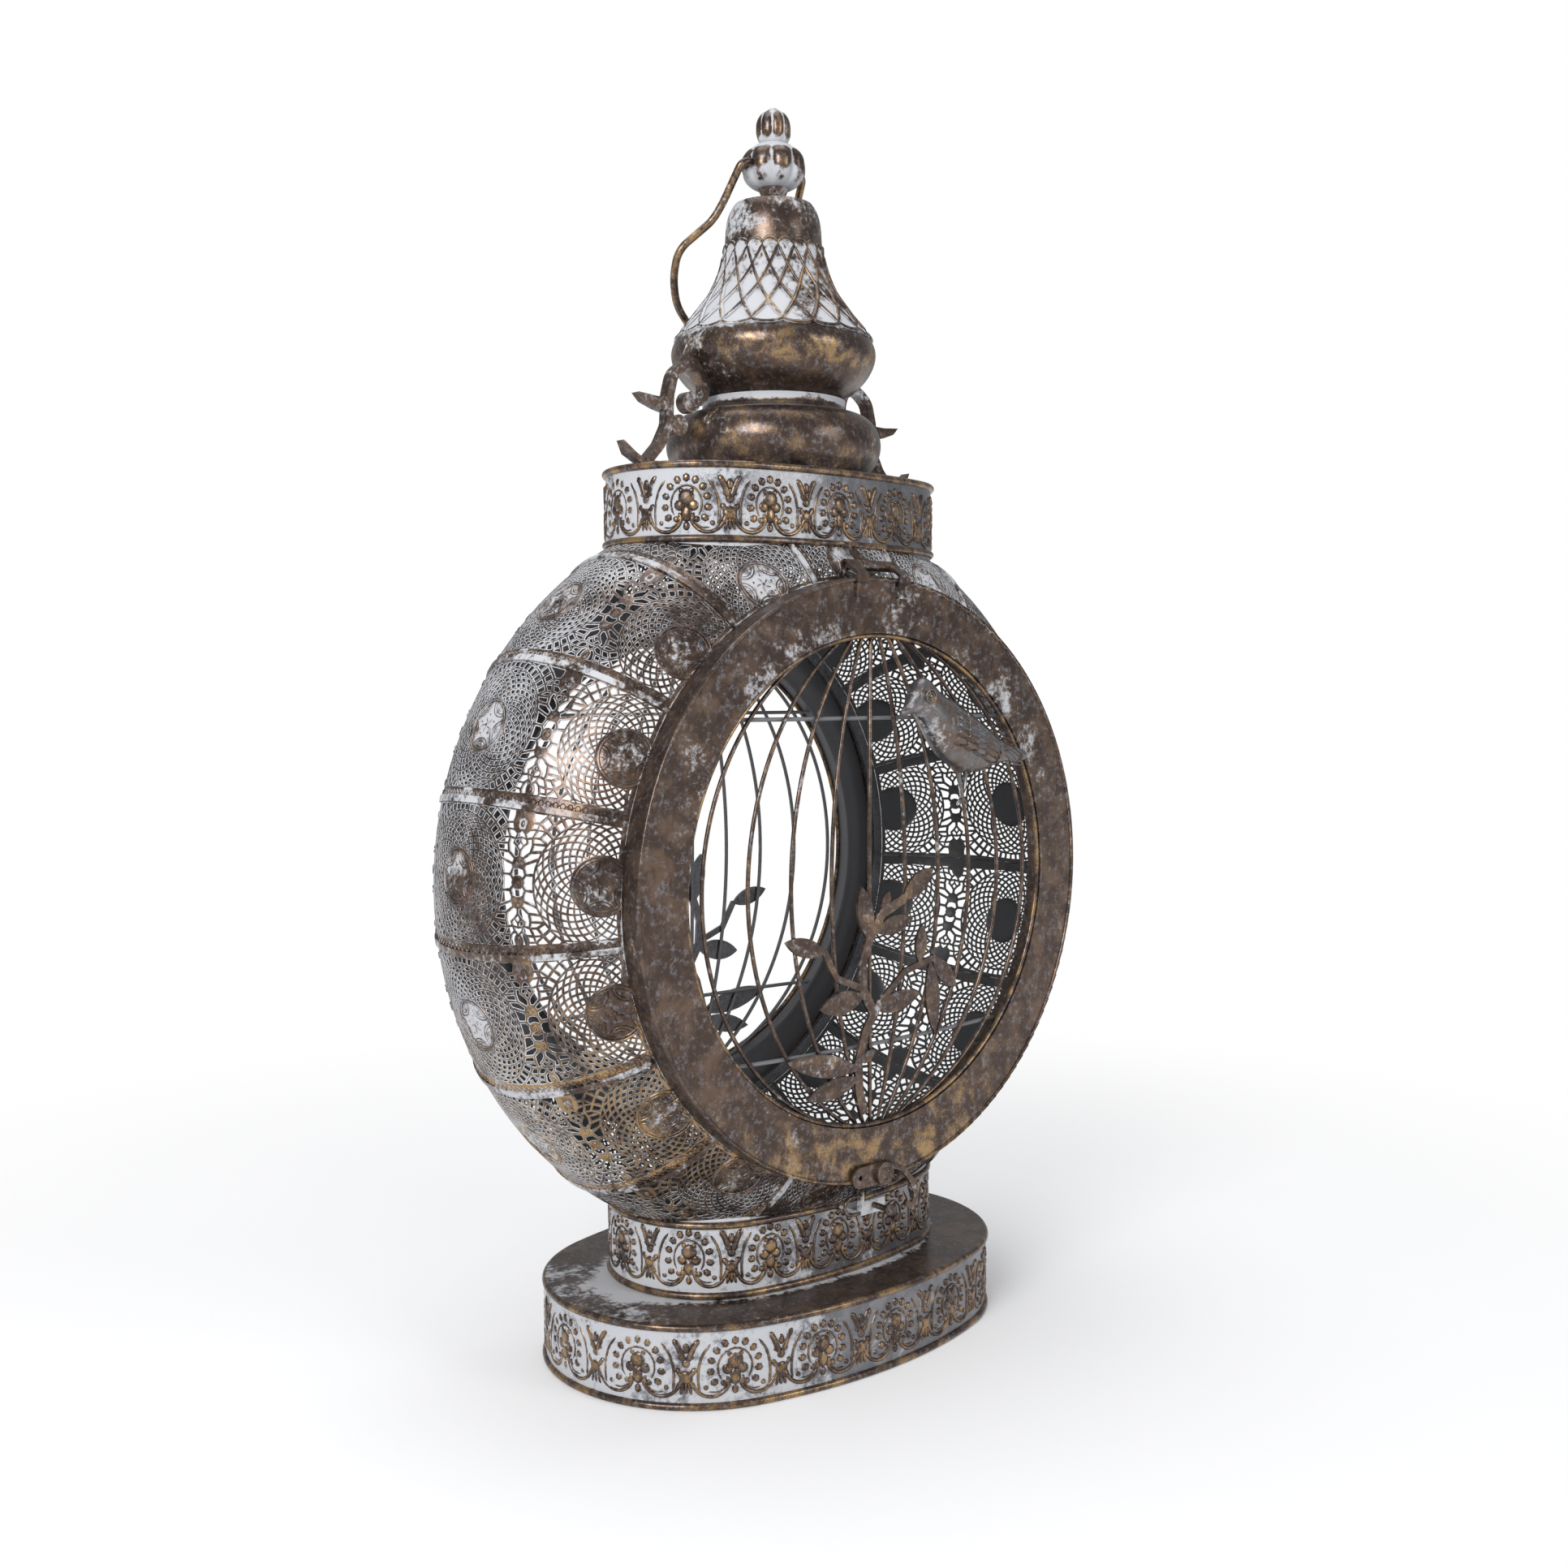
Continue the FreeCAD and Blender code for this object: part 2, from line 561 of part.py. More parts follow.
def branch():
    front = GRILLE_EDGE_Y - GRILLE_DOME - 4 * BRANCH_SHEET
    back = GRILLE_EDGE_Y + BRANCH_SHEET
    blanks = []
    for path, width in [(STEM, STEM_WIDTH)] + [(twig, TWIG_WIDTH) for twig in TWIGS]:
        places = [branch_place(place) for place in path]
        for start, end in zip(places, places[1:]):
            blanks.append(prism_along_y(strip_outline(start, end, width), front, back))
        for x, z in places[1:]:
            blanks.append(Part.makeCylinder(width / 2, back - front, Vector(x, front, z), Y_AXIS))
    for base, tip, width in LEAVES:
        blanks.append(leaf_blank(branch_place(base), branch_place(tip), width, front, back))
    centre = Vector(0, GRILLE_CENTRE_Y, DRUM_Z)
    inside = GRILLE_SPHERE + WIRE_RADIUS
    shell = Part.makeSphere(inside + BRANCH_SHEET, centre).cut(Part.makeSphere(inside, centre))
    return joined(blanks).common(shell)


# ---- Bird: sections from beak to tail as shares of its length ----
# Each is (distance from the tail's tip, rise above it, half height, half depth).
BIRD_SECTIONS = [(1.0, 0.251, 0.010, 0.009), (0.940, 0.280, 0.042, 0.032), (0.853, 0.322, 0.111, 0.079),
                 (0.768, 0.248, 0.152, 0.091), (0.651, 0.156, 0.172, 0.098), (0.491, 0.088, 0.165, 0.096),
                 (0.332, 0.045, 0.108, 0.069), (0.184, 0.022, 0.057, 0.044), (0.0, 0.0, 0.027, 0.022)]
BREAST_SECTION = 4
BELLY_SECTION = 5
LEG_SHARES = (0.473, 0.547)


def bird():
    tail_x = DOOR_BORE_RADIUS - BIRD_TAIL_INSET
    tail_rise = DOOR_BORE_RADIUS - BIRD_TAIL_DROP
    sections = [(tail_x - BIRD_LENGTH * back, tail_rise + BIRD_LENGTH * rise,
                 BIRD_LENGTH * half_height, BIRD_LENGTH * half_depth)
                for back, rise, half_height, half_depth in BIRD_SECTIONS]
    breast_x, breast_rise, _, _ = sections[BREAST_SECTION]
    middle_y = on_dome(breast_x, breast_rise, WIRE_RADIUS).y - BIRD_DEPTH_CENTRE
    rings = []
    for x, rise, half_height, half_depth in sections:
        centre = Vector(x, middle_y, DRUM_Z + rise)
        ellipse = Part.Ellipse(centre + Z_AXIS * half_height, centre + Y_AXIS * half_depth, centre)
        rings.append(Part.Wire(ellipse.toShape()))
    body = Part.makeLoft(rings, True, False)
    _, belly_rise, belly_half, _ = sections[BELLY_SECTION]
    legs = []
    for share in LEG_SHARES:
        x = tail_x - BIRD_LENGTH * share
        hip = Vector(x, middle_y, DRUM_Z + belly_rise - belly_half / 2)
        foot_rise = belly_rise - belly_half - LEG_LENGTH
        foot = on_dome(x, foot_rise, WIRE_RADIUS + LEG_RADIUS)
        legs.append(rod(hip, foot, LEG_RADIUS))
    return joined([body] + legs)


# ---- Door hinge ----
def door_hinge_leaves():
    """Two leaves rolled round the pin and lapped over the ring's edge onto its face."""
    bore = HINGE_PIN_RADIUS + RUNNING_CLEARANCE
    inner = BODY_KNUCKLE_LENGTH / 2 + MOVING_GAP
    outer = inner + DOOR_KNUCKLE_LENGTH
    face_top = DRUM_Z + DOOR_RADIUS
    bead_low = DRUM_Z + math.sqrt(DOOR_RADIUS ** 2 - outer ** 2) - 2 * DOOR_EDGE_BEAD
    proud, flat, sheet = DOOR_PROUD_Y, DOOR_FRONT_Y, LEAF_SHEET
    knuckle_front = HINGE_Y - KNUCKLE_RADIUS
    outline = [(knuckle_front + sheet, HINGE_Z - sheet), (proud, face_top + sheet / 2),
               (proud, bead_low - sheet / 4), (flat, bead_low - sheet), (flat, bead_low - sheet - LEAF_LAP),
               (flat - sheet, bead_low - sheet - LEAF_LAP), (flat - sheet, bead_low - sheet / 2),
               (proud - sheet, bead_low), (proud - sheet, face_top + sheet),
               (knuckle_front + sheet / 2, HINGE_Z + sheet)]
    leaves = []
    for side in (-1, 1):
        left, right = sorted((side * inner, side * outer))
        strap_left, strap_right = sorted((side * (outer - LEAF_WIDTH), side * outer))
        strap = strip_along_x(outline, strap_left, strap_right)
        roll = rod(Vector(left, HINGE_Y, HINGE_Z), Vector(right, HINGE_Y, HINGE_Z), KNUCKLE_RADIUS)
        eye = rod(Vector(left, HINGE_Y, HINGE_Z), Vector(right, HINGE_Y, HINGE_Z), bore)
        leaves.append(roll.fuse(strap).cut(eye))
    return Part.Compound(leaves)


def body_hinge_leaf():
    """The middle knuckle, on a strap from the collar's bottom bead."""
    half = BODY_KNUCKLE_LENGTH / 2
    bead_y = -(NECK_HALF_WIDTH + BEAD_RADIUS)
    knuckle_back = HINGE_Y + KNUCKLE_RADIUS / 2
    knuckle_top = HINGE_Z + KNUCKLE_RADIUS
    outline = [(bead_y, COLLAR_BEAD_Z - LEAF_SHEET / 2), (bead_y, COLLAR_BEAD_Z + LEAF_SHEET),
               (knuckle_back, knuckle_top), (knuckle_back, knuckle_top - LEAF_SHEET)]
    strap = strip_along_x(outline, -half + FIT_GAP, -half + FIT_GAP + BODY_STRAP_WIDTH)
    start, end = Vector(-half, HINGE_Y, HINGE_Z), Vector(half, HINGE_Y, HINGE_Z)
    return rod(start, end, KNUCKLE_RADIUS).fuse(strap).cut(rod(start, end, HINGE_PIN_RADIUS))


def hinge_pin():
    half = BODY_KNUCKLE_LENGTH / 2 + MOVING_GAP + DOOR_KNUCKLE_LENGTH - PIN_RECESS
    return rod(Vector(-half, HINGE_Y, HINGE_Z), Vector(half, HINGE_Y, HINGE_Z), HINGE_PIN_RADIUS)


# ---- Latch ----
def latch_point(x, rise, y):
    return Vector(x, y, LATCH_Z + rise)


def latch_plate():
    """An oblong plate under the hook, holed at its free end."""
    front, back = LATCH_BACK_Y - LATCH_SHEET, LATCH_BACK_Y
    radius = LATCH_PLATE_END_RADIUS
    ends = [Part.makeCylinder(radius, back - front, latch_point(x, 0, front), Y_AXIS)
            for x in (0, -LATCH_PLATE_LENGTH)]
    outline = [(0, LATCH_Z - radius), (0, LATCH_Z + radius),
               (-LATCH_PLATE_LENGTH, LATCH_Z + radius), (-LATCH_PLATE_LENGTH, LATCH_Z - radius)]
    plate = joined(ends + [prism_along_y(outline, front, back)])
    free_end = latch_point(-LATCH_PLATE_LENGTH, 0, front)
    hole = Part.makeCylinder(LATCH_HOLE_RADIUS, back - front, free_end, Y_AXIS)
    rivet_hole = Part.makeCylinder(RIVET_RADIUS, back - front, latch_point(0, 0, front), Y_AXIS)
    return plate.cut(hole).cut(rivet_hole)


def latch_rivet():
    """A rivet through the ring, the plate and the hook's eye, with a head at each end."""
    inside = DOOR_FRONT_Y + SHEET
    shank = rod(latch_point(0, 0, inside), latch_point(0, 0, RIVET_FRONT_Y), RIVET_RADIUS)
    back_head = rod(latch_point(0, 0, inside), latch_point(0, 0, inside + SHEET), RIVET_RADIUS + SHEET / 2)
    head = Part.makeCone(RIVET_HEAD_RADIUS, RIVET_HEAD_RADIUS * 0.6, RIVET_HEAD_HEIGHT,
                         latch_point(0, 0, RIVET_FRONT_Y), -Y_AXIS)
    return joined([shank, back_head, head])


def latch_hook():
    """A swan-neck hook: an eye, an arm over to the right and a curled lip."""
    middle_y = (HOOK_BACK_Y + HOOK_FRONT_Y) / 2
    eye = Part.makeCylinder(HOOK_EYE_RADIUS, HOOK_THICKNESS, latch_point(0, 0, HOOK_FRONT_Y), Y_AXIS)
    arm = [(1.5, 3.2), (9.5, 1.2), (16.5, -6.0), (19.4, -13.4), (16.6, -18.2), (12.6, -15.6)]
    bar = flat_bar([latch_point(x, rise, middle_y) for x, rise in arm], HOOK_BAND, HOOK_THICKNESS)
    bore = Part.makeCylinder(RIVET_RADIUS + RUNNING_CLEARANCE, HOOK_THICKNESS,
                             latch_point(0, 0, HOOK_FRONT_Y), Y_AXIS)
    return eye.fuse(bar).cut(bore)


def strike_pieces(neck_beads):
    """A strap from the neck's bead with the headed stud that the hook catches, and a wire staple."""
    stud_z = LATCH_Z - STUD_DROP
    strap_front = -(NECK_HALF_WIDTH + STRIKE_LENGTH)
    strap_low = NECK_BEAD_Z - SHEET
    lip_height = stud_z + STUD_HEAD_RADIUS - strap_low
    left = STUD_X - STRIKE_WIDTH / 2
    strap = Part.makeBox(STRIKE_WIDTH, -strap_front, SHEET, Vector(left, strap_front, strap_low))
    lip = Part.makeBox(STRIKE_WIDTH, SHEET, lip_height, Vector(left, strap_front, strap_low))
    tab = Part.makeBox(SHEET, 4 * STAPLE_WIRE_RADIUS, 2 * STAPLE_RADIUS + 3 * STAPLE_WIRE_RADIUS,
                       Vector(left, strap_front, strap_low))
    neck = oval_plate(NECK_OVAL, BEAD_RADIUS / 2, 0, COLLAR_TOP_Z)
    stud_hole = rod(Vector(STUD_X, strap_front - SHEET, stud_z),
                    Vector(STUD_X, strap_front + 2 * SHEET, stud_z), STUD_RADIUS)
    bracket = joined([strap, lip, tab]).cut(neck).cut(neck_beads).cut(stud_hole)
    head_y = HOOK_FRONT_Y - MOVING_GAP
    head_foot = Vector(STUD_X, head_y, stud_z)
    shank = rod(Vector(STUD_X, strap_front + SHEET, stud_z), head_foot, STUD_RADIUS)
    head = rod(head_foot, head_foot - Y_AXIS * STUD_HEAD_HEIGHT, STUD_HEAD_RADIUS)
    staple_y = strap_front + 2 * STAPLE_WIRE_RADIUS
    staple_z = strap_low + STAPLE_RADIUS + STAPLE_WIRE_RADIUS
    far = left - STAPLE_LEG
    legs = [rod(Vector(left, staple_y, z), Vector(far, staple_y, z), STAPLE_WIRE_RADIUS)
            for z in (staple_z - STAPLE_RADIUS, staple_z + STAPLE_RADIUS)]
    bow_centre = Vector(far, staple_y, staple_z)
    bow = arc_rod(bow_centre - Z_AXIS * STAPLE_RADIUS, bow_centre - X_AXIS * STAPLE_RADIUS,
                  bow_centre + Z_AXIS * STAPLE_RADIUS, STAPLE_WIRE_RADIUS)
    return {"strike_bracket": bracket, "strike_stud": shank.fuse(head), "staple": joined(legs + [bow])}


# ---- Bun, bell, finial and tie rod ----
def scaled_outline(rows, low, height):
    """Rows of (widest radius, its share, share of the height) as (radius, height) points."""
    return [(radius * share, low + height * rise) for radius, share, rise in rows]


def bun_outline():
    rows = [(BUN_FOOT_RADIUS, 1, 0), (BUN_RADIUS, 0.947, 0.17), (BUN_RADIUS, 1, 0.43),
            (BUN_RADIUS, 0.955, 0.65), (BUN_RADIUS, 0.824, 0.8), (BUN_LIP_RADIUS, 1, 0.88),
            (BUN_LIP_RADIUS, 1, 1)]
    return scaled_outline(rows, COLLAR_TOP_Z, BUN_HEIGHT)


def bell_outline():
    rows = [(BELL_FOOT_RADIUS, 1, 0), (BELL_RADIUS, 0.86, 0.085), (BELL_RADIUS, 0.959, 0.155),
            (BELL_RADIUS, 1, 0.25), (BELL_RADIUS, 0.935, 0.325), (BELL_RADIUS, 0.837, 0.39),
            (BELL_WAIST_RADIUS, 1.315, 0.465), (BELL_WAIST_RADIUS, 1.128, 0.54),
            (BELL_WAIST_RADIUS, 1, 0.62),
            (BELL_TOP_RADIUS, 1.1, 0.78), (BELL_TOP_RADIUS, 1.02, 0.94), (BELL_TOP_RADIUS, 0.881, 1)]
    return scaled_outline(rows, BUN_TOP_Z, BELL_HEIGHT)


def hollow_turn(outline):
    """A sheet vessel turned from its outline, closed at foot and top round the rod."""
    foot, top = outline[0][1], outline[-1][1]
    filled = turned(outline + [(0, top), (0, foot)], (0, len(outline) - 1))
    inner = [(radius - SHEET, height) for radius, height in outline]
    inner[0] = (inner[0][0], foot + SHEET)
    inner[-1] = (inner[-1][0], top - SHEET)
    hollow = turned(inner + [(0, top - SHEET), (0, foot + SHEET)], (0, len(inner) - 1))
    rod_hole = rod(Z_AXIS * (foot - SHEET), Z_AXIS * (top + SHEET), ROD_RADIUS)
    return filled.cut(hollow).cut(rod_hole)


def bell_radius_at(height):
    outline = bell_outline()
    for (r0, z0), (r1, z1) in zip(outline, outline[1:]):
        if z0 <= height <= z1:
            return r0 + (r1 - r0) * (height - z0) / (z1 - z0)
    return outline[-1][0]


def ball_outline(radius, low, high, foot_radius):
    """A bulb's outline: an ellipse between two heights, on a small foot."""
    middle, half = (low + high) / 2, (high - low) / 2
    start = math.asin(min(foot_radius / radius, 0.9))
    turns = [start + (math.pi - 2 * start) * i / 8 for i in range(9)]
    return [(radius * math.sin(t), middle - half * math.cos(t) / math.cos(start)) for t in turns]


def finial_pieces():
    foot_top = BELL_TOP_Z + FINIAL_FOOT_HEIGHT
    foot = turned([(0, BELL_TOP_Z), (FINIAL_FOOT_RADIUS, BELL_TOP_Z),
                   (FINIAL_FOOT_RADIUS * 0.66, BELL_TOP_Z + FINIAL_FLANGE_HEIGHT),
                   (FINIAL_FOOT_RADIUS * 0.54, BELL_TOP_Z + FINIAL_FOOT_HEIGHT * 0.45),
                   (FINIAL_FOOT_RADIUS * 0.72, foot_top), (0, foot_top)])
    rod_end = BULB_Z - BAIL_WIRE_RADIUS * 2
    rod_hole = rod(Z_AXIS * BUN_TOP_Z, Z_AXIS * rod_end, ROD_RADIUS)
    bulb_curve = ball_outline(BULB_RADIUS, foot_top, TIP_FOOT_Z, FINIAL_FOOT_RADIUS * 0.5)
    bulb = turned(bulb_curve + [(0, TIP_FOOT_Z), (0, foot_top)], (0, len(bulb_curve) - 1))
    bulb = bulb.cut(rod_hole)
    eye_end = BULB_RADIUS - BAIL_EYE_DEPTH - MOVING_GAP
    for side in (-1, 1):
        eye = rod(Vector(side * eye_end, 0, BULB_Z), Vector(side * 2 * BULB_RADIUS, 0, BULB_Z),
                  BAIL_WIRE_RADIUS + RUNNING_CLEARANCE)
        bulb = bulb.cut(eye)
    tip_curve = ball_outline(TIP_RADIUS, TIP_FOOT_Z, TIP_FOOT_Z + 0.86 * TIP_HEIGHT, TIP_RADIUS * 0.45)
    tip = turned(tip_curve + [(TIP_RADIUS * 0.2, TOP_Z - TIP_POINT_HEIGHT), (0, TOP_Z), (0, TIP_FOOT_Z)],
                 (0, len(tip_curve) - 1))
    return {"finial_foot": foot.cut(rod_hole), "finial_bulb": bulb, "finial_tip": tip}


def rod_pieces():
    plate_low = COLLAR_TOP_Z - SHEET
    nut_low = plate_low - NUT_HEIGHT
    rod_end = BULB_Z - 2 * BAIL_WIRE_RADIUS
    tie = rod(Z_AXIS * (nut_low - ROD_PAST_NUT), Z_AXIS * rod_end, ROD_RADIUS)
    turns = [math.radians(60 * i) for i in range(6)]
    corners = [Vector(NUT_RADIUS * math.cos(t), NUT_RADIUS * math.sin(t), nut_low) for t in turns]
    nut = Part.Face(Part.makePolygon(corners + corners[:1])).extrude(Z_AXIS * NUT_HEIGHT)
    nut = nut.cut(rod(Z_AXIS * nut_low, Z_AXIS * plate_low, ROD_RADIUS))
    return {"tie_rod": tie, "tie_nut": nut}


# ---- Bail: half of its outline as (x, distance from the pivot), eye first ----
def bail_half():
    out = BULB_RADIUS + BAIL_BEND_OUT
    reach = BAIL_LENGTH
    shares = [(0, 0), (0.017, 0.11), (0.036, 0.24), (0.065, 0.34), (0.223, 0.53), (0.202, 0.67),
              (0.125, 0.82), (-0.03, 0.94)]
    bends = [(out + reach * outward, reach * down) for outward, down in shares]
    return [(BULB_RADIUS - BAIL_EYE_DEPTH, 0)] + bends


def bail_tilt():
    """The bail's angle from straight down, where its foot rests clear of the bell's back."""
    tilt = math.radians(30)
    for _ in range(30):
        height = BULB_Z - BAIL_LENGTH * math.cos(tilt)
        clear = bell_radius_at(height) + BAIL_WIRE_RADIUS + BAIL_REST_GAP
        tilt = math.asin(clear / BAIL_LENGTH)
    return tilt


def bail():
    tilt = bail_tilt()

    def place(x, down):
        return Vector(x, down * math.sin(tilt), BULB_Z - down * math.cos(tilt))

    half = bail_half()
    outline = half + [(0, BAIL_LENGTH)] + [(-x, down) for x, down in reversed(half)]
    return round_bar([place(x, down) for x, down in outline], BAIL_WIRE_RADIUS)


# ---- Scroll brackets, in the XZ plane: (distance outward from the foot, rise above the plate) ----
SCROLL = [(2.5, 2.0), (-4.5, 9.5), (-9.2, 18.5), (-9.7, 31.5), (-12.2, 41.0), (-19.5, 46.6), (-27.5, 44.6),
          (-30.2, 36.5), (-27.6, 30.6), (-22.2, 29.4)]
SCROLL_DRAWN_HEIGHT = 55.6
LEAF_TIPS = [[(4.5, 3.0), (8.6, 5.2), (15.4, 10.0), (13.0, 4.6), (7.0, 1.4), (0.5, 0.6)],
             [(-8.6, 30.4), (-2.4, 30.2), (7.4, 31.0), (4.0, 27.6), (-3.0, 25.2), (-8.6, 24.0)],
             [(-18.6, 47.0), (-22.6, SCROLL_DRAWN_HEIGHT), (-24.4, 51.0), (-25.2, 46.0)]]
BALLS = [(-21.2, 29.6), (-14.6, 19.0)]


def scroll_bracket(side):
    """A cast scroll that stands on the collar plate and leans to the bell."""
    foot_x = BELL_RADIUS + BRACKET_STANDOFF
    stretch = (BUN_HEIGHT + BRACKET_OVER_BUN) / SCROLL_DRAWN_HEIGHT

    def place(out, rise):
        return Vector(side * (foot_x + out), 0, COLLAR_TOP_Z + rise * stretch)

    line = [place(*point) for point in SCROLL]
    band = flat_bar(line, BRACKET_BAND, BRACKET_THICKNESS, BRACKET_LARGEST_BEND)
    half = BRACKET_THICKNESS / 2
    pieces = [band]
    for tip in LEAF_TIPS:
        pieces.append(prism_along_y([(place(*point).x, place(*point).z) for point in tip], -half, half))
    for ball in BALLS:
        near = place(*ball) - Y_AXIS * half
        pieces.append(Part.makeCylinder(BRACKET_BALL_RADIUS, BRACKET_THICKNESS, near, Y_AXIS))
    foot = Part.makeBox(BRACKET_FOOT_WIDTH, BRACKET_THICKNESS, BRACKET_FOOT_HEIGHT,
                        Vector(side * foot_x - BRACKET_FOOT_WIDTH / 2, -half, COLLAR_TOP_Z))
    below = oval_plate(NECK_OVAL, foot_x, COLLAR_TOP_Z - foot_x, COLLAR_TOP_Z)
    return joined(pieces + [foot]).cut(below)


# ---- The whole lantern ----
def lantern():
    drum = drum_body()
    nodes = base_pieces()
    nodes.update(neck_pieces(drum))
    nodes.update(collar_pieces(drum))
    nodes.update(drum_pieces())
    ring = ring_channel()
    rivet_hole = rod(latch_point(0, 0, DOOR_PROUD_Y), latch_point(0, 0, DOOR_BACK_Y), RIVET_RADIUS)
    grille = {"ring": ring, "hoop": hoop(), "wires": grille_wires(), "cross_wires": cross_wires(),
              "branch": branch()}
    for name, shape in grille.items():
        nodes["back_" + name] = to_the_back(shape)
        nodes["door_" + name] = shape
    nodes["door_ring"] = ring.cut(rivet_hole)
    nodes["bird"] = bird()
    nodes["door_hinge_leaves"] = door_hinge_leaves()
    nodes["body_hinge_leaf"] = body_hinge_leaf()
    nodes["hinge_pin"] = hinge_pin()
    nodes["latch_plate"] = latch_plate()
    nodes["latch_rivet"] = latch_rivet()
    nodes["latch_hook"] = latch_hook()
    nodes.update(strike_pieces(nodes["neck_beads"]))
    nodes["bun"] = hollow_turn(bun_outline())
    nodes["bell"] = hollow_turn(bell_outline())
    nodes.update(finial_pieces())
    nodes.update(rod_pieces())
    nodes["bail"] = bail()
    nodes["bracket_left"] = scroll_bracket(-1)
    nodes["bracket_right"] = scroll_bracket(1)
    return nodes


os.makedirs("parts", exist_ok=True)
for name, shape in lantern().items():
    shape.exportStep("parts/" + name + ".step")
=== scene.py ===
"""Fine forms and finishes of a pierced candle lantern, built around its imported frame."""
import functools
import math

import bmesh
import bpy
import numpy as np
from bpy.props import FloatProperty, FloatVectorProperty, IntProperty, PointerProperty
from mathutils import Matrix, Vector
from mathutils.geometry import delaunay_2d_cdt


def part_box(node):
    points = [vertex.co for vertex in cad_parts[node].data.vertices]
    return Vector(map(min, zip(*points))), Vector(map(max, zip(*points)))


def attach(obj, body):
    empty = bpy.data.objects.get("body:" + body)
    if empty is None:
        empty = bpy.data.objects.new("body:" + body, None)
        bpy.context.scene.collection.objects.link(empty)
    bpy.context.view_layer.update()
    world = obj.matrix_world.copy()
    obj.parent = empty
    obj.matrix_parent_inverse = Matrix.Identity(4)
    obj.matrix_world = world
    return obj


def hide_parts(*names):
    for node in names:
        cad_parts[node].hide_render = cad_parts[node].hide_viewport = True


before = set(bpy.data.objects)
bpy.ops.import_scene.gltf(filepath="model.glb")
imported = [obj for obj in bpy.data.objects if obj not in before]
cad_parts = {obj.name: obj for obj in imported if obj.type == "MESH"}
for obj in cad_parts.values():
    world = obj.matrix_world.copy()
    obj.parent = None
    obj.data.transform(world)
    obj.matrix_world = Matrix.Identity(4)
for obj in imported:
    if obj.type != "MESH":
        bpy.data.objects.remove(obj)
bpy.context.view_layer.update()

bl_info = {
    "name": "Pierced Candle Lantern",
    "version": (1, 0, 0),
    "blender": (4, 5, 0),
    "location": "3D View > Sidebar > Lantern",
    "description": "Adds the lantern's pierced drum, friezes, bell, bird and finishes",
    "category": "Add Mesh",
}

MM = 0.001


def middle(node):
    low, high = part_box(node)
    return (low + high) / 2


# ---- The drum's form, read from the frame ----
DRUM_Z = middle("front_rim").z
DRUM_CENTRE = Vector((0, 0, DRUM_Z))
DRUM_CROWN = -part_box("panel_17")[0].x
DRUM_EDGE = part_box("front_rim")[1].x
DRUM_HALF_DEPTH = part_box("panel_17")[1].y
DRUM_DROP = DRUM_CROWN - DRUM_EDGE
BULGE = (DRUM_HALF_DEPTH ** 2 + DRUM_DROP ** 2) / (2 * DRUM_DROP)
PANEL_COUNT = 17
FIRST_SEAM = math.radians(187.5)
PANEL_PITCH = math.tau / PANEL_COUNT
PANEL_SHEET = 0.5 * MM
NECK_HALF_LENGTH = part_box("collar_top_plate")[1].x
NECK_HALF_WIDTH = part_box("collar_top_plate")[1].y
BASE_HALF_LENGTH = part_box("base_top_plate")[1].x
BASE_HALF_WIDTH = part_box("base_top_plate")[1].y
END_ARC_RATIO = 0.91


# ---- Sizes and colours that a user may change ----
def length(name, description, millimetres):
    return FloatProperty(name=name, description=description, default=millimetres * MM, min=0.0,
                         subtype="DISTANCE", unit="LENGTH", precision=5)


def colour(name, description, red, green, blue):
    return FloatVectorProperty(name=name, description=description, default=(red, green, blue), size=3,
                               min=0.0, max=1.0, subtype="COLOR")


class LanternSizes(bpy.types.PropertyGroup):
    spiral_count: IntProperty(name="Spirals", description="Threads each way in a rosette", default=26)
    medallion: length("Medallion", "Radius of the solid disc in a rosette", 11.9)
    rosette: length("Rosette", "Radius of a rosette's outer thread", 26.4)
    rosette_spacing: length("Rosette spacing", "Distance between rosettes along a panel", 66.3)
    thread: length("Thread", "Width of a pierced thread", 1.12)
    low_border: length("Low border", "Solid strip along a panel's lower seam", 4.4)
    high_border: length("High border", "Solid strip along a panel's upper seam", 1.3)
    relief: length("Relief", "Height of the embossed lines", 0.45)
    frieze_relief: length("Frieze relief", "Height of the friezes' ornament", 0.9)
    lattice_relief: length("Lattice relief", "Height of the bell's ribs", 0.8)
    lattice_count: IntProperty(name="Lattice ribs", description="Ribs each way round the bell", default=20)
    lobes: IntProperty(name="Lobes", description="Lobes round the finial's bulb", default=8)
    feather_relief: length("Feather relief", "Height of the bird's feathers", 0.9)


class LanternColours(bpy.types.PropertyGroup):
    bronze: colour("Bronze", "Dark brown bronze paint", 0.07, 0.047, 0.038)
    brown: colour("Warm bronze", "Lighter brown bronze in the rubbed parts", 0.15, 0.1, 0.072)
    gold: colour("Gold", "Gold rub on high edges", 0.37, 0.24, 0.115)
    # The whitewash colour is real wash in the hollows, and also painted light where the wash masks whiten
    # the left side that the light falls on.
    wash_and_light: colour("Whitewash", "Grey-white wash in the hollows", 0.54, 0.55, 0.575)
    haze: colour("Haze", "Thin grey haze over the bronze", 0.25, 0.25, 0.27)
    ground: colour("Frieze ground", "Grey behind the friezes' ornament", 0.17, 0.17, 0.18)
    # Inner grey: the plain inner paint made near black, as painted shade inside the drum.
    inner: colour("Inner grey", "Plain dark grey of the unseen sides", 0.055, 0.058, 0.062)
    floor: colour("Floor", "Pale floor", 0.86, 0.86, 0.87)


def sizes():
    return bpy.context.scene.lantern_sizes


def colours():
    return bpy.context.scene.lantern_colours


# ---- Mesh helpers ----
def deselect_all():
    if bpy.context.object and bpy.context.object.mode != "OBJECT":
        bpy.ops.object.mode_set(mode="OBJECT")
    bpy.ops.object.select_all(action="DESELECT")


def make_active(piece):
    deselect_all()
    piece.select_set(True)
    bpy.context.view_layer.objects.active = piece
    return piece


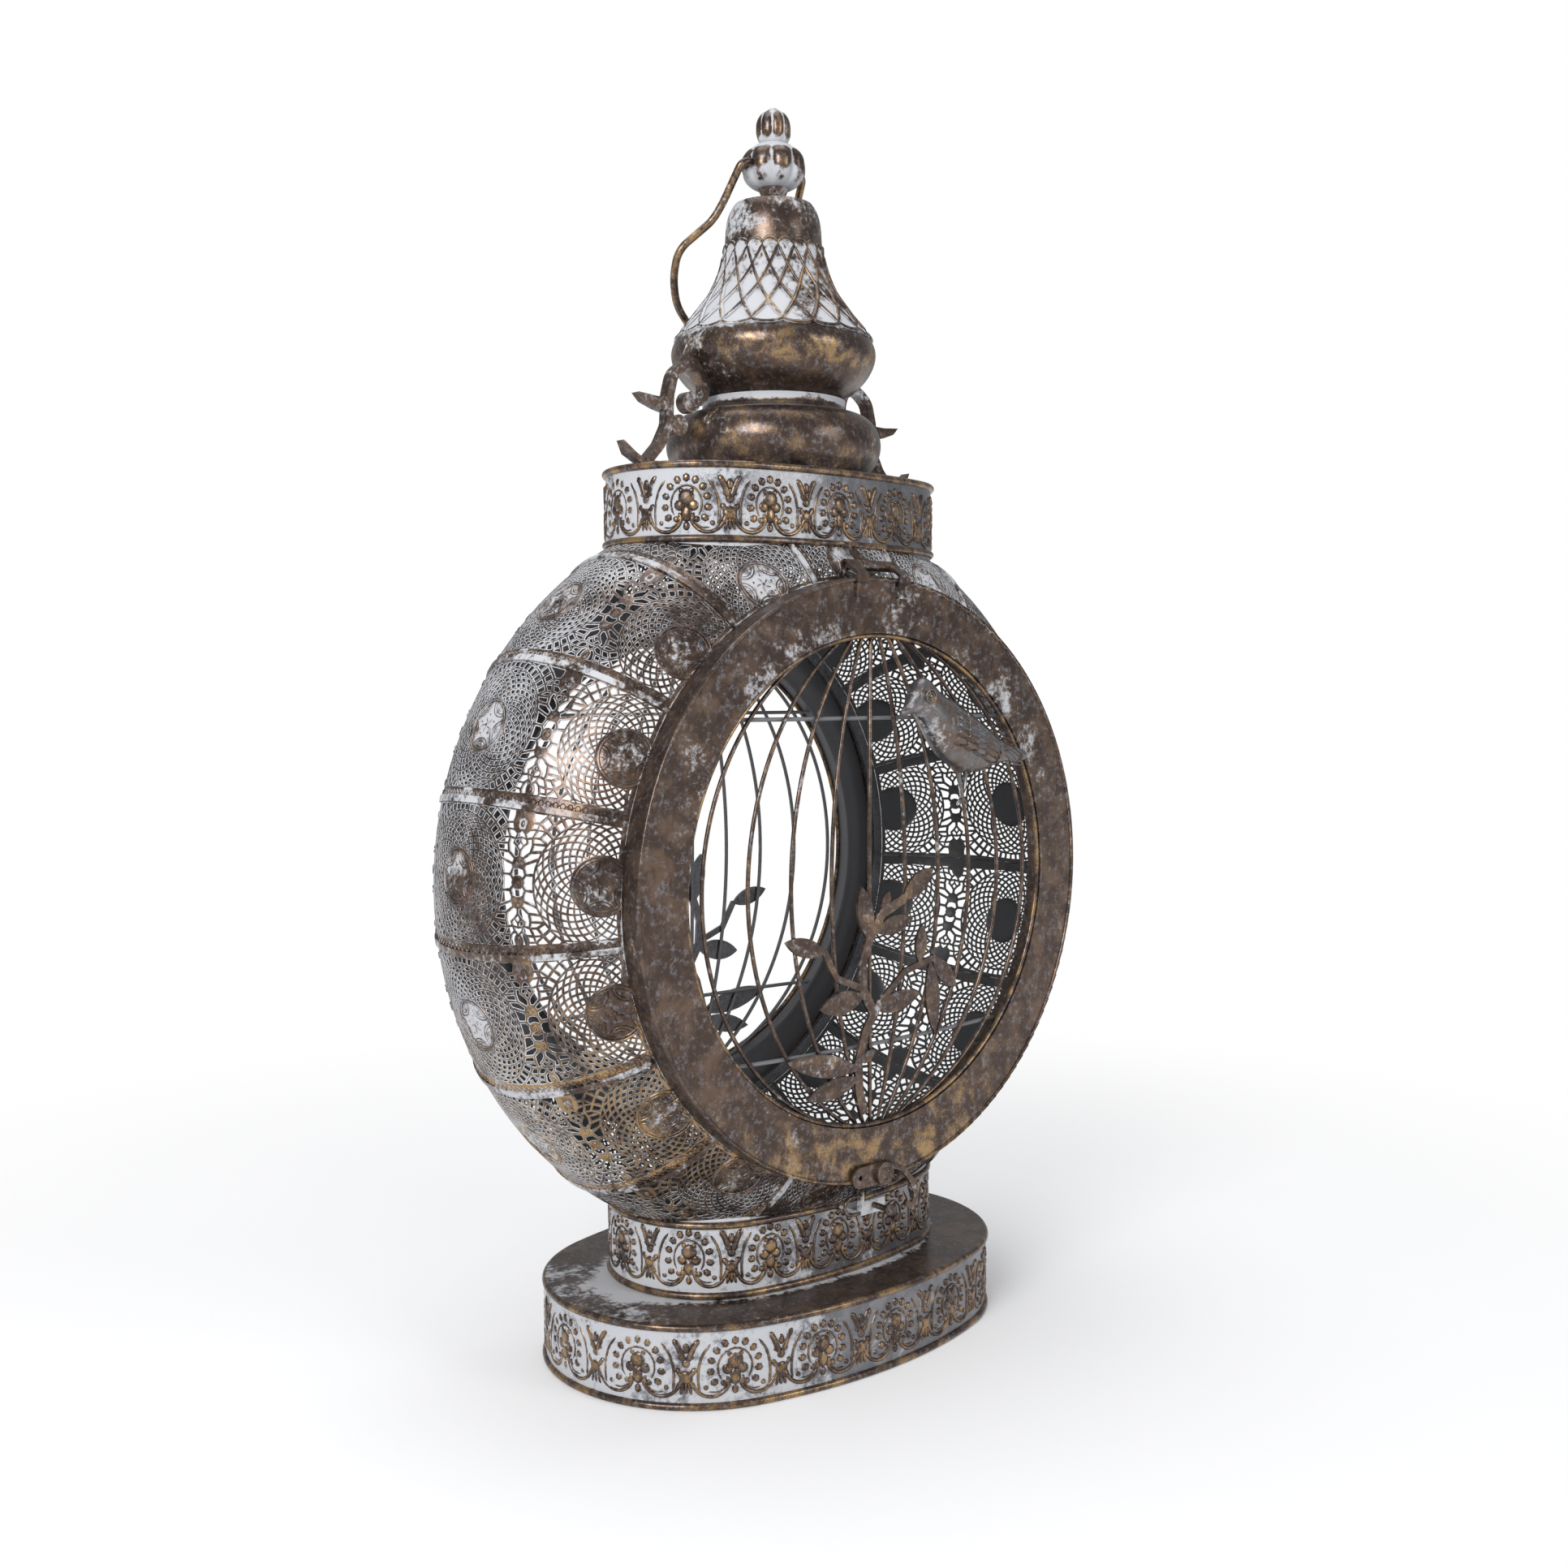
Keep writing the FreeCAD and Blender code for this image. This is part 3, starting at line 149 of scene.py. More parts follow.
def new_piece(name, points, faces, edges=()):
    mesh = bpy.data.meshes.new(name)
    mesh.from_pydata([tuple(p) for p in points], list(edges), [list(f) for f in faces])
    mesh.validate()
    piece = bpy.data.objects.new(name, mesh)
    bpy.context.scene.collection.objects.link(piece)
    return make_active(piece)


def apply_modifier(piece, kind, **settings):
    make_active(piece)
    modifier = piece.modifiers.new(kind.title(), kind)
    for key, value in settings.items():
        setattr(modifier, key, value)
    bpy.ops.object.modifier_apply(modifier=modifier.name)
    return piece


def coordinates(mesh):
    places = np.empty(len(mesh.vertices) * 3)
    mesh.vertices.foreach_get("co", places)
    return places.reshape(-1, 3)


def set_coordinates(mesh, places):
    mesh.vertices.foreach_set("co", np.ascontiguousarray(places, dtype=float).ravel())
    mesh.update()


def set_mask(mesh, name, values):
    layer = mesh.attributes.get(name) or mesh.attributes.new(name, "FLOAT", "POINT")
    layer.data.foreach_set("value", np.ascontiguousarray(values, dtype=np.float32))


def smooth(piece, angle=None):
    make_active(piece)
    if angle is None:
        bpy.ops.object.shade_smooth()
    else:
        bpy.ops.object.shade_smooth_by_angle(angle=math.radians(angle))
    return piece


def finish_piece(piece, body, material, replaced=()):
    piece.data.materials.clear()
    piece.data.materials.append(material)
    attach(piece, body)
    if replaced:
        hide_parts(*replaced)


def clean_up(piece, gap=0.01):
    """Merge doubles and turn all faces outward."""
    make_active(piece)
    bpy.ops.object.mode_set(mode="EDIT")
    bpy.ops.mesh.select_all(action="SELECT")
    bpy.ops.mesh.remove_doubles(threshold=gap * MM)
    bpy.ops.mesh.normals_make_consistent(inside=False)
    bpy.ops.object.mode_set(mode="OBJECT")
    return piece


# ---- The drum's surface: along the depth, round the axis, and outward ----
def half_gore(along):
    """Half of a panel's width at a distance along its arc."""
    return PANEL_PITCH / 2 * (DRUM_CROWN - BULGE + BULGE * np.cos(along / BULGE))


def on_drum(along, round_, lift):
    """Places on the drum for a panel centred on +X."""
    tilt = along / BULGE
    turn = round_ / (DRUM_CROWN - BULGE + BULGE * np.cos(tilt))
    radius = DRUM_CROWN - BULGE + (BULGE + lift) * np.cos(tilt)
    return np.stack([radius * np.cos(turn), (BULGE + lift) * np.sin(tilt), radius * np.sin(turn)], axis=-1)


def depth_below_skin(places):
    """How far places lie inside the drum's outer skin."""
    radius = np.hypot(places[:, 0], places[:, 2] - DRUM_Z)
    return BULGE - np.hypot(radius - (DRUM_CROWN - BULGE), places[:, 1])


def panel_turn(number):
    """Turn about the drum's axis that takes +X to a panel's middle, from +X towards +Z."""
    angle = FIRST_SEAM + (number - 0.5) * PANEL_PITCH
    return Matrix.Translation(DRUM_CENTRE) @ Matrix.Rotation(-angle, 4, "Y")


# ---- The pierced pattern, drawn flat ----
PANEL_GAP = 0.15 * MM          # from a panel's edge to the seam's middle
END_MARGIN = 1.6 * MM          # solid strip at a panel's two ends
RING_OVERHANG = 0.6 * MM       # of a rosette's circles past its outer thread
CIRCLE_SHIFT = 4.0 * MM
DRUM_ROWS = 24                 # lines across the borders, to each side of a panel's middle
SMALLEST_CELL = 1.1 * MM * MM  # cells below this stay solid
BIG_CELL = 12 * MM * MM        # cells above this have wider threads
INSET_STEP = 0.05 * MM
MEDALLION_RINGS = (0.67, 0.34)


class Drawing:
    """Lines of a pattern, as places joined by edges."""

    def __init__(self):
        self.places = []
        self.edges = []

    def line(self, points, closed=False):
        first = len(self.places)
        self.places.extend(Vector(p) for p in points)
        count = len(points)
        self.edges.extend((first + i, first + i + 1) for i in range(count - 1))
        if closed:
            self.edges.append((first + count - 1, first))

    def circle(self, centre, radius, count, turn=0.0):
        self.line([round_place(centre, radius, turn + math.tau * i / count) for i in range(count)], True)


def round_place(centre, radius, angle):
    return (centre[0] + radius * math.cos(angle), centre[1] + radius * math.sin(angle))


def spiral_rings(medallion, rosette, count):
    """Radii where circles through a rosette cross, from its outer thread to its medallion."""
    circle = (rosette + RING_OVERHANG + CIRCLE_SHIFT) / 2
    offset = circle - CIRCLE_SHIFT
    radii = []
    for step in range(3, count // 2):
        half = math.pi * step / count
        radii.append(offset * math.cos(half) + math.sqrt(circle ** 2 - (offset * math.sin(half)) ** 2))
    radii[0], radii[-1] = rosette, medallion
    return radii


def draw_rosette(drawing, centre):
    s = sizes()
    count = s.spiral_count
    step = math.tau / count
    radii = spiral_rings(s.medallion, s.rosette, count)

    def crossing(ring, i):
        return round_place(centre, radii[ring], (i + (ring % 2) / 2) * step)

    for ring in range(len(radii) - 1):
        for i in range(count):
            for side in (-1, 1):
                other = (i + (ring % 2) / 2) + side / 2 - ((ring + 1) % 2) / 2
                drawing.line([crossing(ring, i), crossing(ring + 1, other)])
    drawing.circle(centre, s.rosette, count * 2)
    drawing.circle(centre, s.medallion, count * 2)
    for share in MEDALLION_RINGS:
        drawing.circle(centre, s.medallion * share, count)
    for i in range(count):
        drawing.line([round_place(centre, s.medallion, i * step),
                      round_place(centre, s.medallion * MEDALLION_RINGS[-1], i * step)])


# One quarter of the lace between two rosettes, in mm from its middle: paths that end on one another,
# on the dot, on the rosette's outer thread ("rim", step) or on a wider circle ("wide", step)
DOT_RADIUS = 2.3
WIDE_THREAD = 30.6
WIDEST_THREAD = 34.9
LACE = (
    (("dot", 1), (3.3, 3.0), ("rim", 1)),
    ((3.3, 3.0), (2.3, 5.6), (0.0, 6.1)),
    ((2.3, 5.6), (2.6, 7.2), ("rim", 3)),
    ((2.6, 7.2), (1.7, 9.3), (0.0, 10.0)),
    ((1.7, 9.3), (4.9, 11.9), ("rim", 4)),
    ((0.0, 10.0), (0.0, 12.4), (1.4, 14.2), (0.0, 16.0), (0.0, 17.6)),
    ((4.9, 11.9), (5.4, 15.2), (5.0, 17.6)),
    ((1.4, 14.2), (2.8, 15.4), (2.4, 17.0)),
    ((5.4, 15.2), ("rim", 5)),
    ((0.0, 17.6), (2.4, 17.0), (5.0, 17.6), ("wide", 5)),
    ((2.4, 17.0), (1.6, 19.0), (3.4, 20.6), (6.6, 20.8), ("wide", 6)),
    ((1.6, 19.0), (0.0, 20.6)),
    ((5.0, 17.6), (6.6, 20.8), ("widest", 6)),
    ((3.4, 20.6), (4.2, 23.4), (3.6, 26.0), (4.0, 31.0)),
    ((4.2, 23.4), ("widest", 6)),
)
OVAL_PLACE = (0.0, 22.8)
OVAL_RADII = (1.5, 2.2)
KNOT_PLACE = (0.0, 8.1)


def draw_gap(drawing, column):
    """The lace between two rosettes, the same to both sides and both ways up."""
    s = sizes()
    half_step = math.pi / s.spiral_count
    reach = s.rosette_spacing / 2

    def spot(mark):
        """A place in the lace's own quarter."""
        kind, step = mark
        if kind == "dot":
            return round_place((0, 0), DOT_RADIUS * MM, step * math.pi / 6)
        if isinstance(kind, str):
            radius = {"rim": s.rosette, "wide": WIDE_THREAD * MM, "widest": WIDEST_THREAD * MM}[kind]
            return (reach - radius * math.cos(step * half_step), radius * math.sin(step * half_step))
        return (kind * MM, step * MM)

    paths = [[spot(mark) for mark in path] for path in LACE]
    paths.append([spot(("wide", step)) for step in range(5, 14)])
    paths.append([spot(("widest", step)) for step in range(6, 12)])
    paths.extend([spot(("rim", step)), spot(("wide", step))] for step in range(5, 14))
    paths.extend([spot(("wide", step)), spot(("widest", step))] for step in range(6, 12))
    drawing.circle((column, 0), DOT_RADIUS * MM, 12)
    for up in (-1, 1):
        drawing.line([(column + OVAL_RADII[0] * MM * math.sin(a),
                       up * (OVAL_PLACE[1] - OVAL_RADII[1] * math.cos(a)) * MM)
                      for a in (math.tau * k / 12 for k in range(12))], True)
        for side in (-1, 1):
            for path in paths:
                drawing.line([(column + side * x, up * y) for x, y in path])


def draw_borders(drawing, reach, rows):
    """The panel's outline, its two borders and the lines across them."""
    s = sizes()
    edges = [half_gore(x) - PANEL_GAP for x in rows]
    for up, border in ((1, s.low_border), (-1, s.high_border)):
        drawing.line([(x, up * half) for x, half in zip(rows, edges)])
        drawing.line([(x, up * (half - border)) for x, half in zip(rows, edges)])
        for x, half in zip(rows, edges):
            drawing.line([(x, up * half), (x, up * (half - border))])
    for x in (-reach, reach):
        half = half_gore(x) - PANEL_GAP
        inner = x - math.copysign(END_MARGIN, x)
        drawing.line([(x, -half), (x, half)])
        drawing.line([(inner, -half), (inner, half)])


def sheet_role(place, area, reach):
    """Whether a cell of the drawing is cut away, solid, or outside the panel."""
    s = sizes()
    along, round_ = place
    half = half_gore(along) - PANEL_GAP
    if abs(along) > reach or abs(round_) > half:
        return "outside"
    border = s.low_border if round_ > 0 else s.high_border
    if abs(round_) > half - border or abs(along) > reach - END_MARGIN or area < SMALLEST_CELL:
        return "solid"
    for column in (-1, 0, 1):
        if math.hypot(along - column * s.rosette_spacing, round_) < s.medallion:
            return "solid"
    gap = abs(along) - s.rosette_spacing / 2
    for (x, y), radius in (((0, 0), DOT_RADIUS), (KNOT_PLACE, 1.0), (OVAL_PLACE, 0.9)):
        if math.hypot(gap - x * MM, abs(round_) - y * MM) < radius * MM:
            return "solid"
    return "cut"


def pierced_sheet():
    """The flat pierced sheet of one panel as a piece, with its holes cut."""
    s = sizes()
    reach = BULGE * math.asin(DRUM_HALF_DEPTH / BULGE)
    drawing = Drawing()
    for column in (-1, 0, 1):
        draw_rosette(drawing, (column * s.rosette_spacing, 0.0))
    for column in (-0.5, 0.5):
        draw_gap(drawing, column * s.rosette_spacing)
    draw_borders(drawing, reach, [reach * i / DRUM_ROWS for i in range(-DRUM_ROWS, DRUM_ROWS + 1)])
    places, edges, cells, _, drawn, _ = delaunay_2d_cdt(drawing.places, drawing.edges, [], 0, 1e-6)
    piece = new_piece("pierced_sheet", [(p.x, p.y, 0) for p in places], cells)
    kept = {tuple(sorted(edge)) for edge, origins in zip(edges, drawn) if origins}
    shape = bmesh.new()
    shape.from_mesh(piece.data)
    loose = [e for e in shape.edges if tuple(sorted(v.index for v in e.verts)) not in kept]
    bmesh.ops.dissolve_edges(shape, edges=loose, use_verts=False)
    roles = {"outside": [], "solid": [], "cut": []}
    for face in shape.faces:
        roles[sheet_role(face.calc_center_median_weighted().xy, face.calc_area(), reach)].append(face)
    bmesh.ops.delete(shape, geom=roles["outside"], context="FACES")
    by_inset = {}
    for face in roles["cut"]:
        wide = s.thread / 2 if face.calc_area() < BIG_CELL else s.thread * 0.62
        inset = min(wide, 0.84 * face.calc_area() / face.calc_perimeter())
        by_inset.setdefault(max(1, round(inset / INSET_STEP)), []).append(face)
    for steps, faces in by_inset.items():
        bmesh.ops.inset_individual(shape, faces=faces, thickness=steps * INSET_STEP, use_even_offset=True)
        bmesh.ops.delete(shape, geom=faces, context="FACES_ONLY")
    shape.to_mesh(piece.data)
    shape.free()
    return piece


def oval_outline(half_length, half_width, offset, count):
    """Places on an oval of four tangent arcs, evenly by arc, and the outward direction at each."""
    end = END_ARC_RATIO * half_width
    reach, rise = half_length - end, half_width - end
    drop = (reach ** 2 - rise ** 2) / (2 * rise)
    joint = math.atan2(drop, reach)
    side = half_width + drop
    arcs = [((reach, 0), end, -joint, 2 * joint), ((0, -drop), side, joint, math.pi - 2 * joint),
            ((-reach, 0), end, math.pi - joint, 2 * joint),
            ((0, drop), side, math.pi + joint, math.pi - 2 * joint)]
    around = sum(radius * sweep for _, radius, _, sweep in arcs)
    places = []
    for i in range(count):
        along = around * i / count
        for centre, radius, start, sweep in arcs:
            if along <= radius * sweep:
                break
            along -= radius * sweep
        angle = start + along / radius
        outward = Vector((math.cos(angle), math.sin(angle), 0))
        places.append((Vector((*centre, 0)) + outward * (radius + offset), outward))
    return places, around


def oval_lines(half_length, half_width, offset, count=64):
    """An oval's outline as arrays of places and outward directions, and its length."""
    outline, around = oval_outline(half_length, half_width, offset, count)
    return (np.array([place[:2] for place, _ in outline]),
            np.array([direction[:2] for _, direction in outline]), around)


def trim_by_oval(piece, half_length, half_width, offset):
    """Cut away what stands over an oval, along its outline."""
    at, outward, _ = oval_lines(half_length, half_width, offset)

    def beyond(places):
        """How far places stand outside each of the oval's tangent lines."""
        return ((places[:, None, :2] - at) * outward).sum(axis=2)

    if beyond(coordinates(piece.data)).max(axis=1).min() >= 0:
        return
    shape = bmesh.new()
    shape.from_mesh(piece.data)
    lines = beyond(np.array([v.co for v in shape.verts]))
    outside, nearest = lines.max(axis=1), lines.argmax(axis=1)
    crossing = {}
    for face in shape.faces:
        corners = [v.index for v in face.verts]
        if outside[corners].min() < 0 < outside[corners].max():
            for line in set(nearest[corners]):
                crossing.setdefault(line, []).append(face)
    for line, faces in crossing.items():
        faces = [f for f in faces if f.is_valid]
        geometry = list({g for f in faces for g in [f, *f.edges, *f.verts]})
        bmesh.ops.bisect_plane(shape, geom=geometry, plane_co=(*at[line], 0), plane_no=(*outward[line], 0))
    shape.faces.ensure_lookup_table()
    gone = beyond(np.array([f.calc_center_median() for f in shape.faces])).max(axis=1) < 0
    bmesh.ops.delete(shape, geom=[f for f in shape.faces if gone[f.index]], context="FACES")
    shape.to_mesh(piece.data)
    shape.free()


# ---- Embossing: low ribs and domes laid on a surface ----
RIB_SECTION = ((-1.0, -0.3), (-0.62, 0.72), (0.0, 1.0), (0.62, 0.72), (1.0, -0.3))
DOME_RINGS = ((1.0, -0.3), (0.86, 0.55), (0.5, 0.9))


class Embossing:
    """Ribs and domes drawn flat, laid on a surface by a function of along, round and lift."""

    def __init__(self, surface, stout=1.0):
        self.surface = surface
        self.stout = stout
        self.flat = []
        self.relief = []
        self.faces = []

    def rib(self, path, half_width, height, closed=False, taper=0.35):
        """A low rib of rounded section along a flat path."""
        path = np.array(path, float)
        if closed:
            ahead = np.roll(path, -1, axis=0) - np.roll(path, 1, axis=0)
        else:
            ahead = np.gradient(path, axis=0)
        ahead /= np.maximum(np.hypot(*ahead.T), 1e-9)[:, None]
        side = np.stack([-ahead[:, 1], ahead[:, 0]], axis=1)
        count = len(path)
        swell = np.ones(count)
        if not closed:
            swell[0] = swell[-1] = taper
        first = len(self.flat)
        wide = len(RIB_SECTION)
        for i in range(count):
            for across, up in RIB_SECTION:
                self.flat.append((*(path[i] + side[i] * across * half_width * self.stout * swell[i]),
                                  height * up * (swell[i] if up > 0 else 1)))
                self.relief.append(max(up, 0.0))
        for i in range(count if closed else count - 1):
            here, there = first + i * wide, first + (i + 1) % count * wide
            for k in range(wide):
                after = (k + 1) % wide
                self.faces.append((here + k, there + k, there + after, here + after))
        if not closed:
            self.faces.append(tuple(first + k for k in range(wide)))
            last = first + (count - 1) * wide
            self.faces.append(tuple(last + k for k in reversed(range(wide))))

    def dome(self, centre, radius, height, stretch=1.0, turn=0.0, sides=10):
        """A low dome, round or stretched into an oval."""
        first = len(self.flat)
        axis, cross = np.array([math.cos(turn), math.sin(turn)]), np.array([-math.sin(turn), math.cos(turn)])
        for share, up in DOME_RINGS:
            for i in range(sides):
                angle = math.tau * i / sides
                place = np.array(centre) + share * radius * self.stout * (axis * math.cos(angle) * stretch
                                                             + cross * math.sin(angle))
                self.flat.append((*place, height * up))
                self.relief.append(max(up, 0.0))
        self.flat.append((*centre, height))
        self.relief.append(1.0)
        for ring in range(len(DOME_RINGS) - 1):
            low, high = first + ring * sides, first + (ring + 1) * sides
            for i in range(sides):
                after = (i + 1) % sides
                self.faces.append((low + i, low + after, high + after, high + i))
        top, high = first + len(DOME_RINGS) * sides, first + (len(DOME_RINGS) - 1) * sides
        for i in range(sides):
            self.faces.append((high + i, high + (i + 1) % sides, top))
        self.faces.append(tuple(first + i for i in reversed(range(sides))))

    def build(self, name):
        flat = np.array(self.flat)
        piece = new_piece(name, self.surface(flat[:, 0], flat[:, 1], flat[:, 2]), self.faces)
        make_active(piece)
        bpy.ops.object.mode_set(mode="EDIT")
        bpy.ops.mesh.select_all(action="SELECT")
        bpy.ops.mesh.normals_make_consistent(inside=False)
        bpy.ops.object.mode_set(mode="OBJECT")
        set_mask(piece.data, "relief", self.relief)
        set_mask(piece.data, "inside", np.zeros(len(flat)))
        return smooth(piece, 60)


def curve_through(points, steps=5):
    """A smooth path through points."""
    points = [np.array(p, float) for p in points]
    padded = [2 * points[0] - points[1], *points, 2 * points[-1] - points[-2]]
    path = []
    for a, b, c, d in zip(padded, padded[1:], padded[2:], padded[3:]):
        for i in range(steps):
            t = i / steps
            path.append(0.5 * (2 * b + (c - a) * t + (2 * a - 5 * b + 4 * c - d) * t ** 2
                               + (3 * b - a - 3 * c + d) * t ** 3))
    return [*path, points[-1]]


def arc_path(centre, radius, start, sweep, count):
    return [round_place(centre, radius, start + sweep * i / (count - 1)) for i in range(count)]


def emboss_medallion(work, centre):
    """Beaded double ring, five petals with asterisks and a pinwheel heart."""
    s = sizes()
    h = s.relief
    ring = s.medallion - 0.5 * MM
    work.rib(arc_path(centre, ring, 0, math.tau * 47 / 48, 48), 0.42 * MM, h, True)
    work.rib(arc_path(centre, ring - 1.3 * MM, 0, math.tau * 35 / 36, 36), 0.26 * MM, h * 0.7, True)
    for petal in range(5):
        turn = math.pi / 2 + math.tau * petal / 5
        middle_of_petal = round_place(centre, ring * 1.02, turn)
        for radius, pitch, half_width, share in ((5.9, 13, 0.34, 1.0), (4.6, 12, 0.22, 0.6)):
            work.rib([round_place(middle_of_petal, radius * MM, turn + math.pi + a * math.radians(pitch))
                      for a in range(-5, 6)], half_width * MM, h * share)
        flower = round_place(centre, ring - 3.6 * MM, turn)
        for spoke in range(6):
            angle = turn + math.tau * spoke / 6
            work.rib([round_place(flower, 0.25 * MM, angle), round_place(flower, 0.9 * MM, angle),
                      round_place(flower, 1.5 * MM, angle)], 0.24 * MM, h * 0.8)
        swirl = turn + math.pi / 5
        work.rib([round_place(centre, r * MM, swirl + 0.5 * r / 3.4) for r in (1.2, 2.0, 2.8, 3.4)],
                 0.3 * MM, h * 0.8)
        work.dome(round_place(centre, 4.5 * MM, swirl), 0.55 * MM, h * 0.7, sides=8)
    work.dome(centre, 0.9 * MM, h, sides=10)


def emboss_panel(surface):
    """The raised work on one panel: medallions, small wheels and the loops along its low border."""
    s = sizes()
    work = Embossing(surface)
    for column in (-1, 0, 1):
        emboss_medallion(work, (column * s.rosette_spacing, 0.0))
    for column in (-0.5, 0.5):
        centre = column * s.rosette_spacing
        work.rib(arc_path((centre, 0), 1.75 * MM, 0, math.tau * 11 / 12, 12), 0.3 * MM, s.relief, True)
        work.dome((centre, 0), 0.8 * MM, s.relief, sides=8)
        for up in (-1, 1):
            work.dome((centre, up * OVAL_PLACE[1] * MM), 1.0 * MM, s.relief, 1.6, math.pi / 2, 8)
            for x, y in ((0, 9.2), (-1.1, 7.4), (1.1, 7.4)):
                work.dome((centre + x * MM, up * y * MM), 0.75 * MM, s.relief, sides=8)
    reach = s.rosette_spacing + 6 * MM
    pitch = 3.0 * MM
    for i in range(int(-reach / pitch), int(reach / pitch) + 1):
        along = i * pitch
        height = half_gore(along) - s.low_border * 0.52
        work.rib([(along + 1.0 * MM * math.cos(a), height + 1.25 * MM * math.sin(a))
                  for a in (k * math.tau / 8 for k in range(8))], 0.26 * MM, s.relief * 0.8, True)
        work.dome((along + pitch / 2, height), 0.42 * MM, s.relief * 0.7, sides=6)
    return work.build("panel_relief")


PANEL_TUCK = 0.6 * MM        # of a panel's cut end under the neck and the collar
RELIEF_CLEARANCE = 0.8 * MM  # of the raised lines from the neck and the collar
THREAD_CROWN = 0.2 * MM


class LANTERN_OT_pierced_panels(bpy.types.Operator):
    """Cut one panel's pierced pattern and bend a copy of it to each of the drum's gores"""
    bl_idname = "lantern.pierced_panels"
    bl_label = "Pierced Panels"

    def execute(self, context):
        sheet = pierced_sheet()
        mark_borders(sheet.data)
        flat = coordinates(sheet.data)
        crown = attribute_values(sheet.data, "relief") * THREAD_CROWN
        set_coordinates(sheet.data, on_drum(flat[:, 0], flat[:, 1], crown - PANEL_SHEET / 2))
        raised = emboss_panel(lambda x, y, lift: on_drum(x, y, lift - 0.05 * MM))
        material = pierced_finish()
        for number in range(1, PANEL_COUNT + 1):
            node = "panel_%02d" % number
            panel = turned_copy(sheet, "pierced_" + node, number)
            trim_by_oval(panel, NECK_HALF_LENGTH, NECK_HALF_WIDTH, -PANEL_TUCK)
            apply_modifier(panel, "SOLIDIFY", thickness=PANEL_SHEET, offset=-1)
            # Marks the inner side and the lower hole walls, which the finish paints as shade.
            set_mask(panel.data, "inside",
                     np.clip((depth_below_skin(coordinates(panel.data)) - 0.3 * MM) / PANEL_SHEET, 0, 1))
            relief = turned_copy(raised, "relief_" + node, number)
            drop_parts_over_oval(relief)
            deselect_all()
            relief.select_set(True)
            panel.select_set(True)
            bpy.context.view_layer.objects.active = panel
            bpy.ops.object.join()
            smooth(panel, 50)
            finish_piece(panel, "body", material, [node])
        bpy.data.objects.remove(sheet)
        bpy.data.objects.remove(raised)
        return {"FINISHED"}


def turned_copy(piece, name, number):
    """A copy with its own mesh, turned to one of the drum's panels."""
    copy = piece.copy()
    copy.data = piece.data.copy()
    copy.name = name
    bpy.context.scene.collection.objects.link(copy)
    copy.data.transform(panel_turn(number))
    return copy


def drop_parts_over_oval(piece):
    """Delete the raised lines that stand over the neck and the collar."""
    at, outward, _ = oval_lines(NECK_HALF_LENGTH, NECK_HALF_WIDTH, RELIEF_CLEARANCE)
    shape = bmesh.new()
    shape.from_mesh(piece.data)
    places = np.array([v.co[:2] for v in shape.verts])
    inside = ((places[:, None] - at) * outward).sum(axis=2).max(axis=1) < 0
    seen = set()
    gone = []
    for vertex in shape.verts:
        if vertex.index in seen:
            continue
        part, edge_of_part = [vertex], [vertex]
        seen.add(vertex.index)
        while edge_of_part:
            for edge in edge_of_part.pop().link_edges:
                for other in edge.verts:
                    if other.index not in seen:
                        seen.add(other.index)
                        part.append(other)
                        edge_of_part.append(other)
        if any(inside[v.index] for v in part):
            gone.extend(part)
    bmesh.ops.delete(shape, geom=gone, context="VERTS")
    shape.to_mesh(piece.data)
    shape.free()


def attribute_values(mesh, name):
    values = np.empty(len(mesh.vertices), np.float32)
    mesh.attributes[name].data.foreach_get("value", values)
    return values


def solid_around(vertex):
    """Whether a place lies in the solid parts, away from any hole."""
    return not any(face_vertex.is_boundary for face in vertex.link_faces for face_vertex in face.verts)


def mark_borders(mesh):
    """Relief is full along a thread's middle and none at the edge of a hole."""
    shape = bmesh.new()
    shape.from_mesh(mesh)
    values = [0.0 if vertex.is_boundary else 0.3 if solid_around(vertex) else 1.0
              for vertex in shape.verts]
    shape.free()
    set_mask(mesh, "relief", values)


# ---- Node helpers ----
def new_material(name):
    material = bpy.data.materials.new(name)
    material.use_nodes = True
    nodes = material.node_tree.nodes
    nodes.clear()
    output = nodes.new("ShaderNodeOutputMaterial")
    shader = nodes.new("ShaderNodeBsdfPrincipled")
    material.node_tree.links.new(shader.outputs[0], output.inputs[0])
    return material, shader


def put(tree, kind, **settings):
    node = tree.nodes.new(kind)
    for key, value in settings.items():
        setattr(node, key, value)
    return node


def feed(tree, node, inputs):
    for key, value in inputs.items():
        socket = node.inputs[key]
        if isinstance(value, bpy.types.NodeSocket):
            tree.links.new(value, socket)
        else:
            socket.default_value = value
    return node


def noise(tree, place, scale, detail=4.0, roughness=0.6, distortion=0.0):
    node = feed(tree, put(tree, "ShaderNodeTexNoise"),
                {"Vector": place, "Scale": scale, "Detail": detail, "Roughness": roughness,
                 "Distortion": distortion})
    return node.outputs["Fac"]


def spread(tree, value, low, high, smooth_step=True):
    """Map a value between two limits to 0 and 1."""
    node = put(tree, "ShaderNodeMapRange", interpolation_type="SMOOTHSTEP" if smooth_step else "LINEAR")
    feed(tree, node, {"Value": value, "From Min": low, "From Max": high})
    return node.outputs["Result"]


def calc(tree, operation, first, second=0.0):
    return feed(tree, put(tree, "ShaderNodeMath", operation=operation, use_clamp=False),
                {0: first, 1: second}).outputs[0]


def total(tree, *values):
    return functools.reduce(lambda first, second: calc(tree, "ADD", first, second), values)


def product(tree, *values):
    return functools.reduce(lambda first, second: calc(tree, "MULTIPLY", first, second), values)


def opposite(tree, value):
    return calc(tree, "SUBTRACT", 1.0, value)


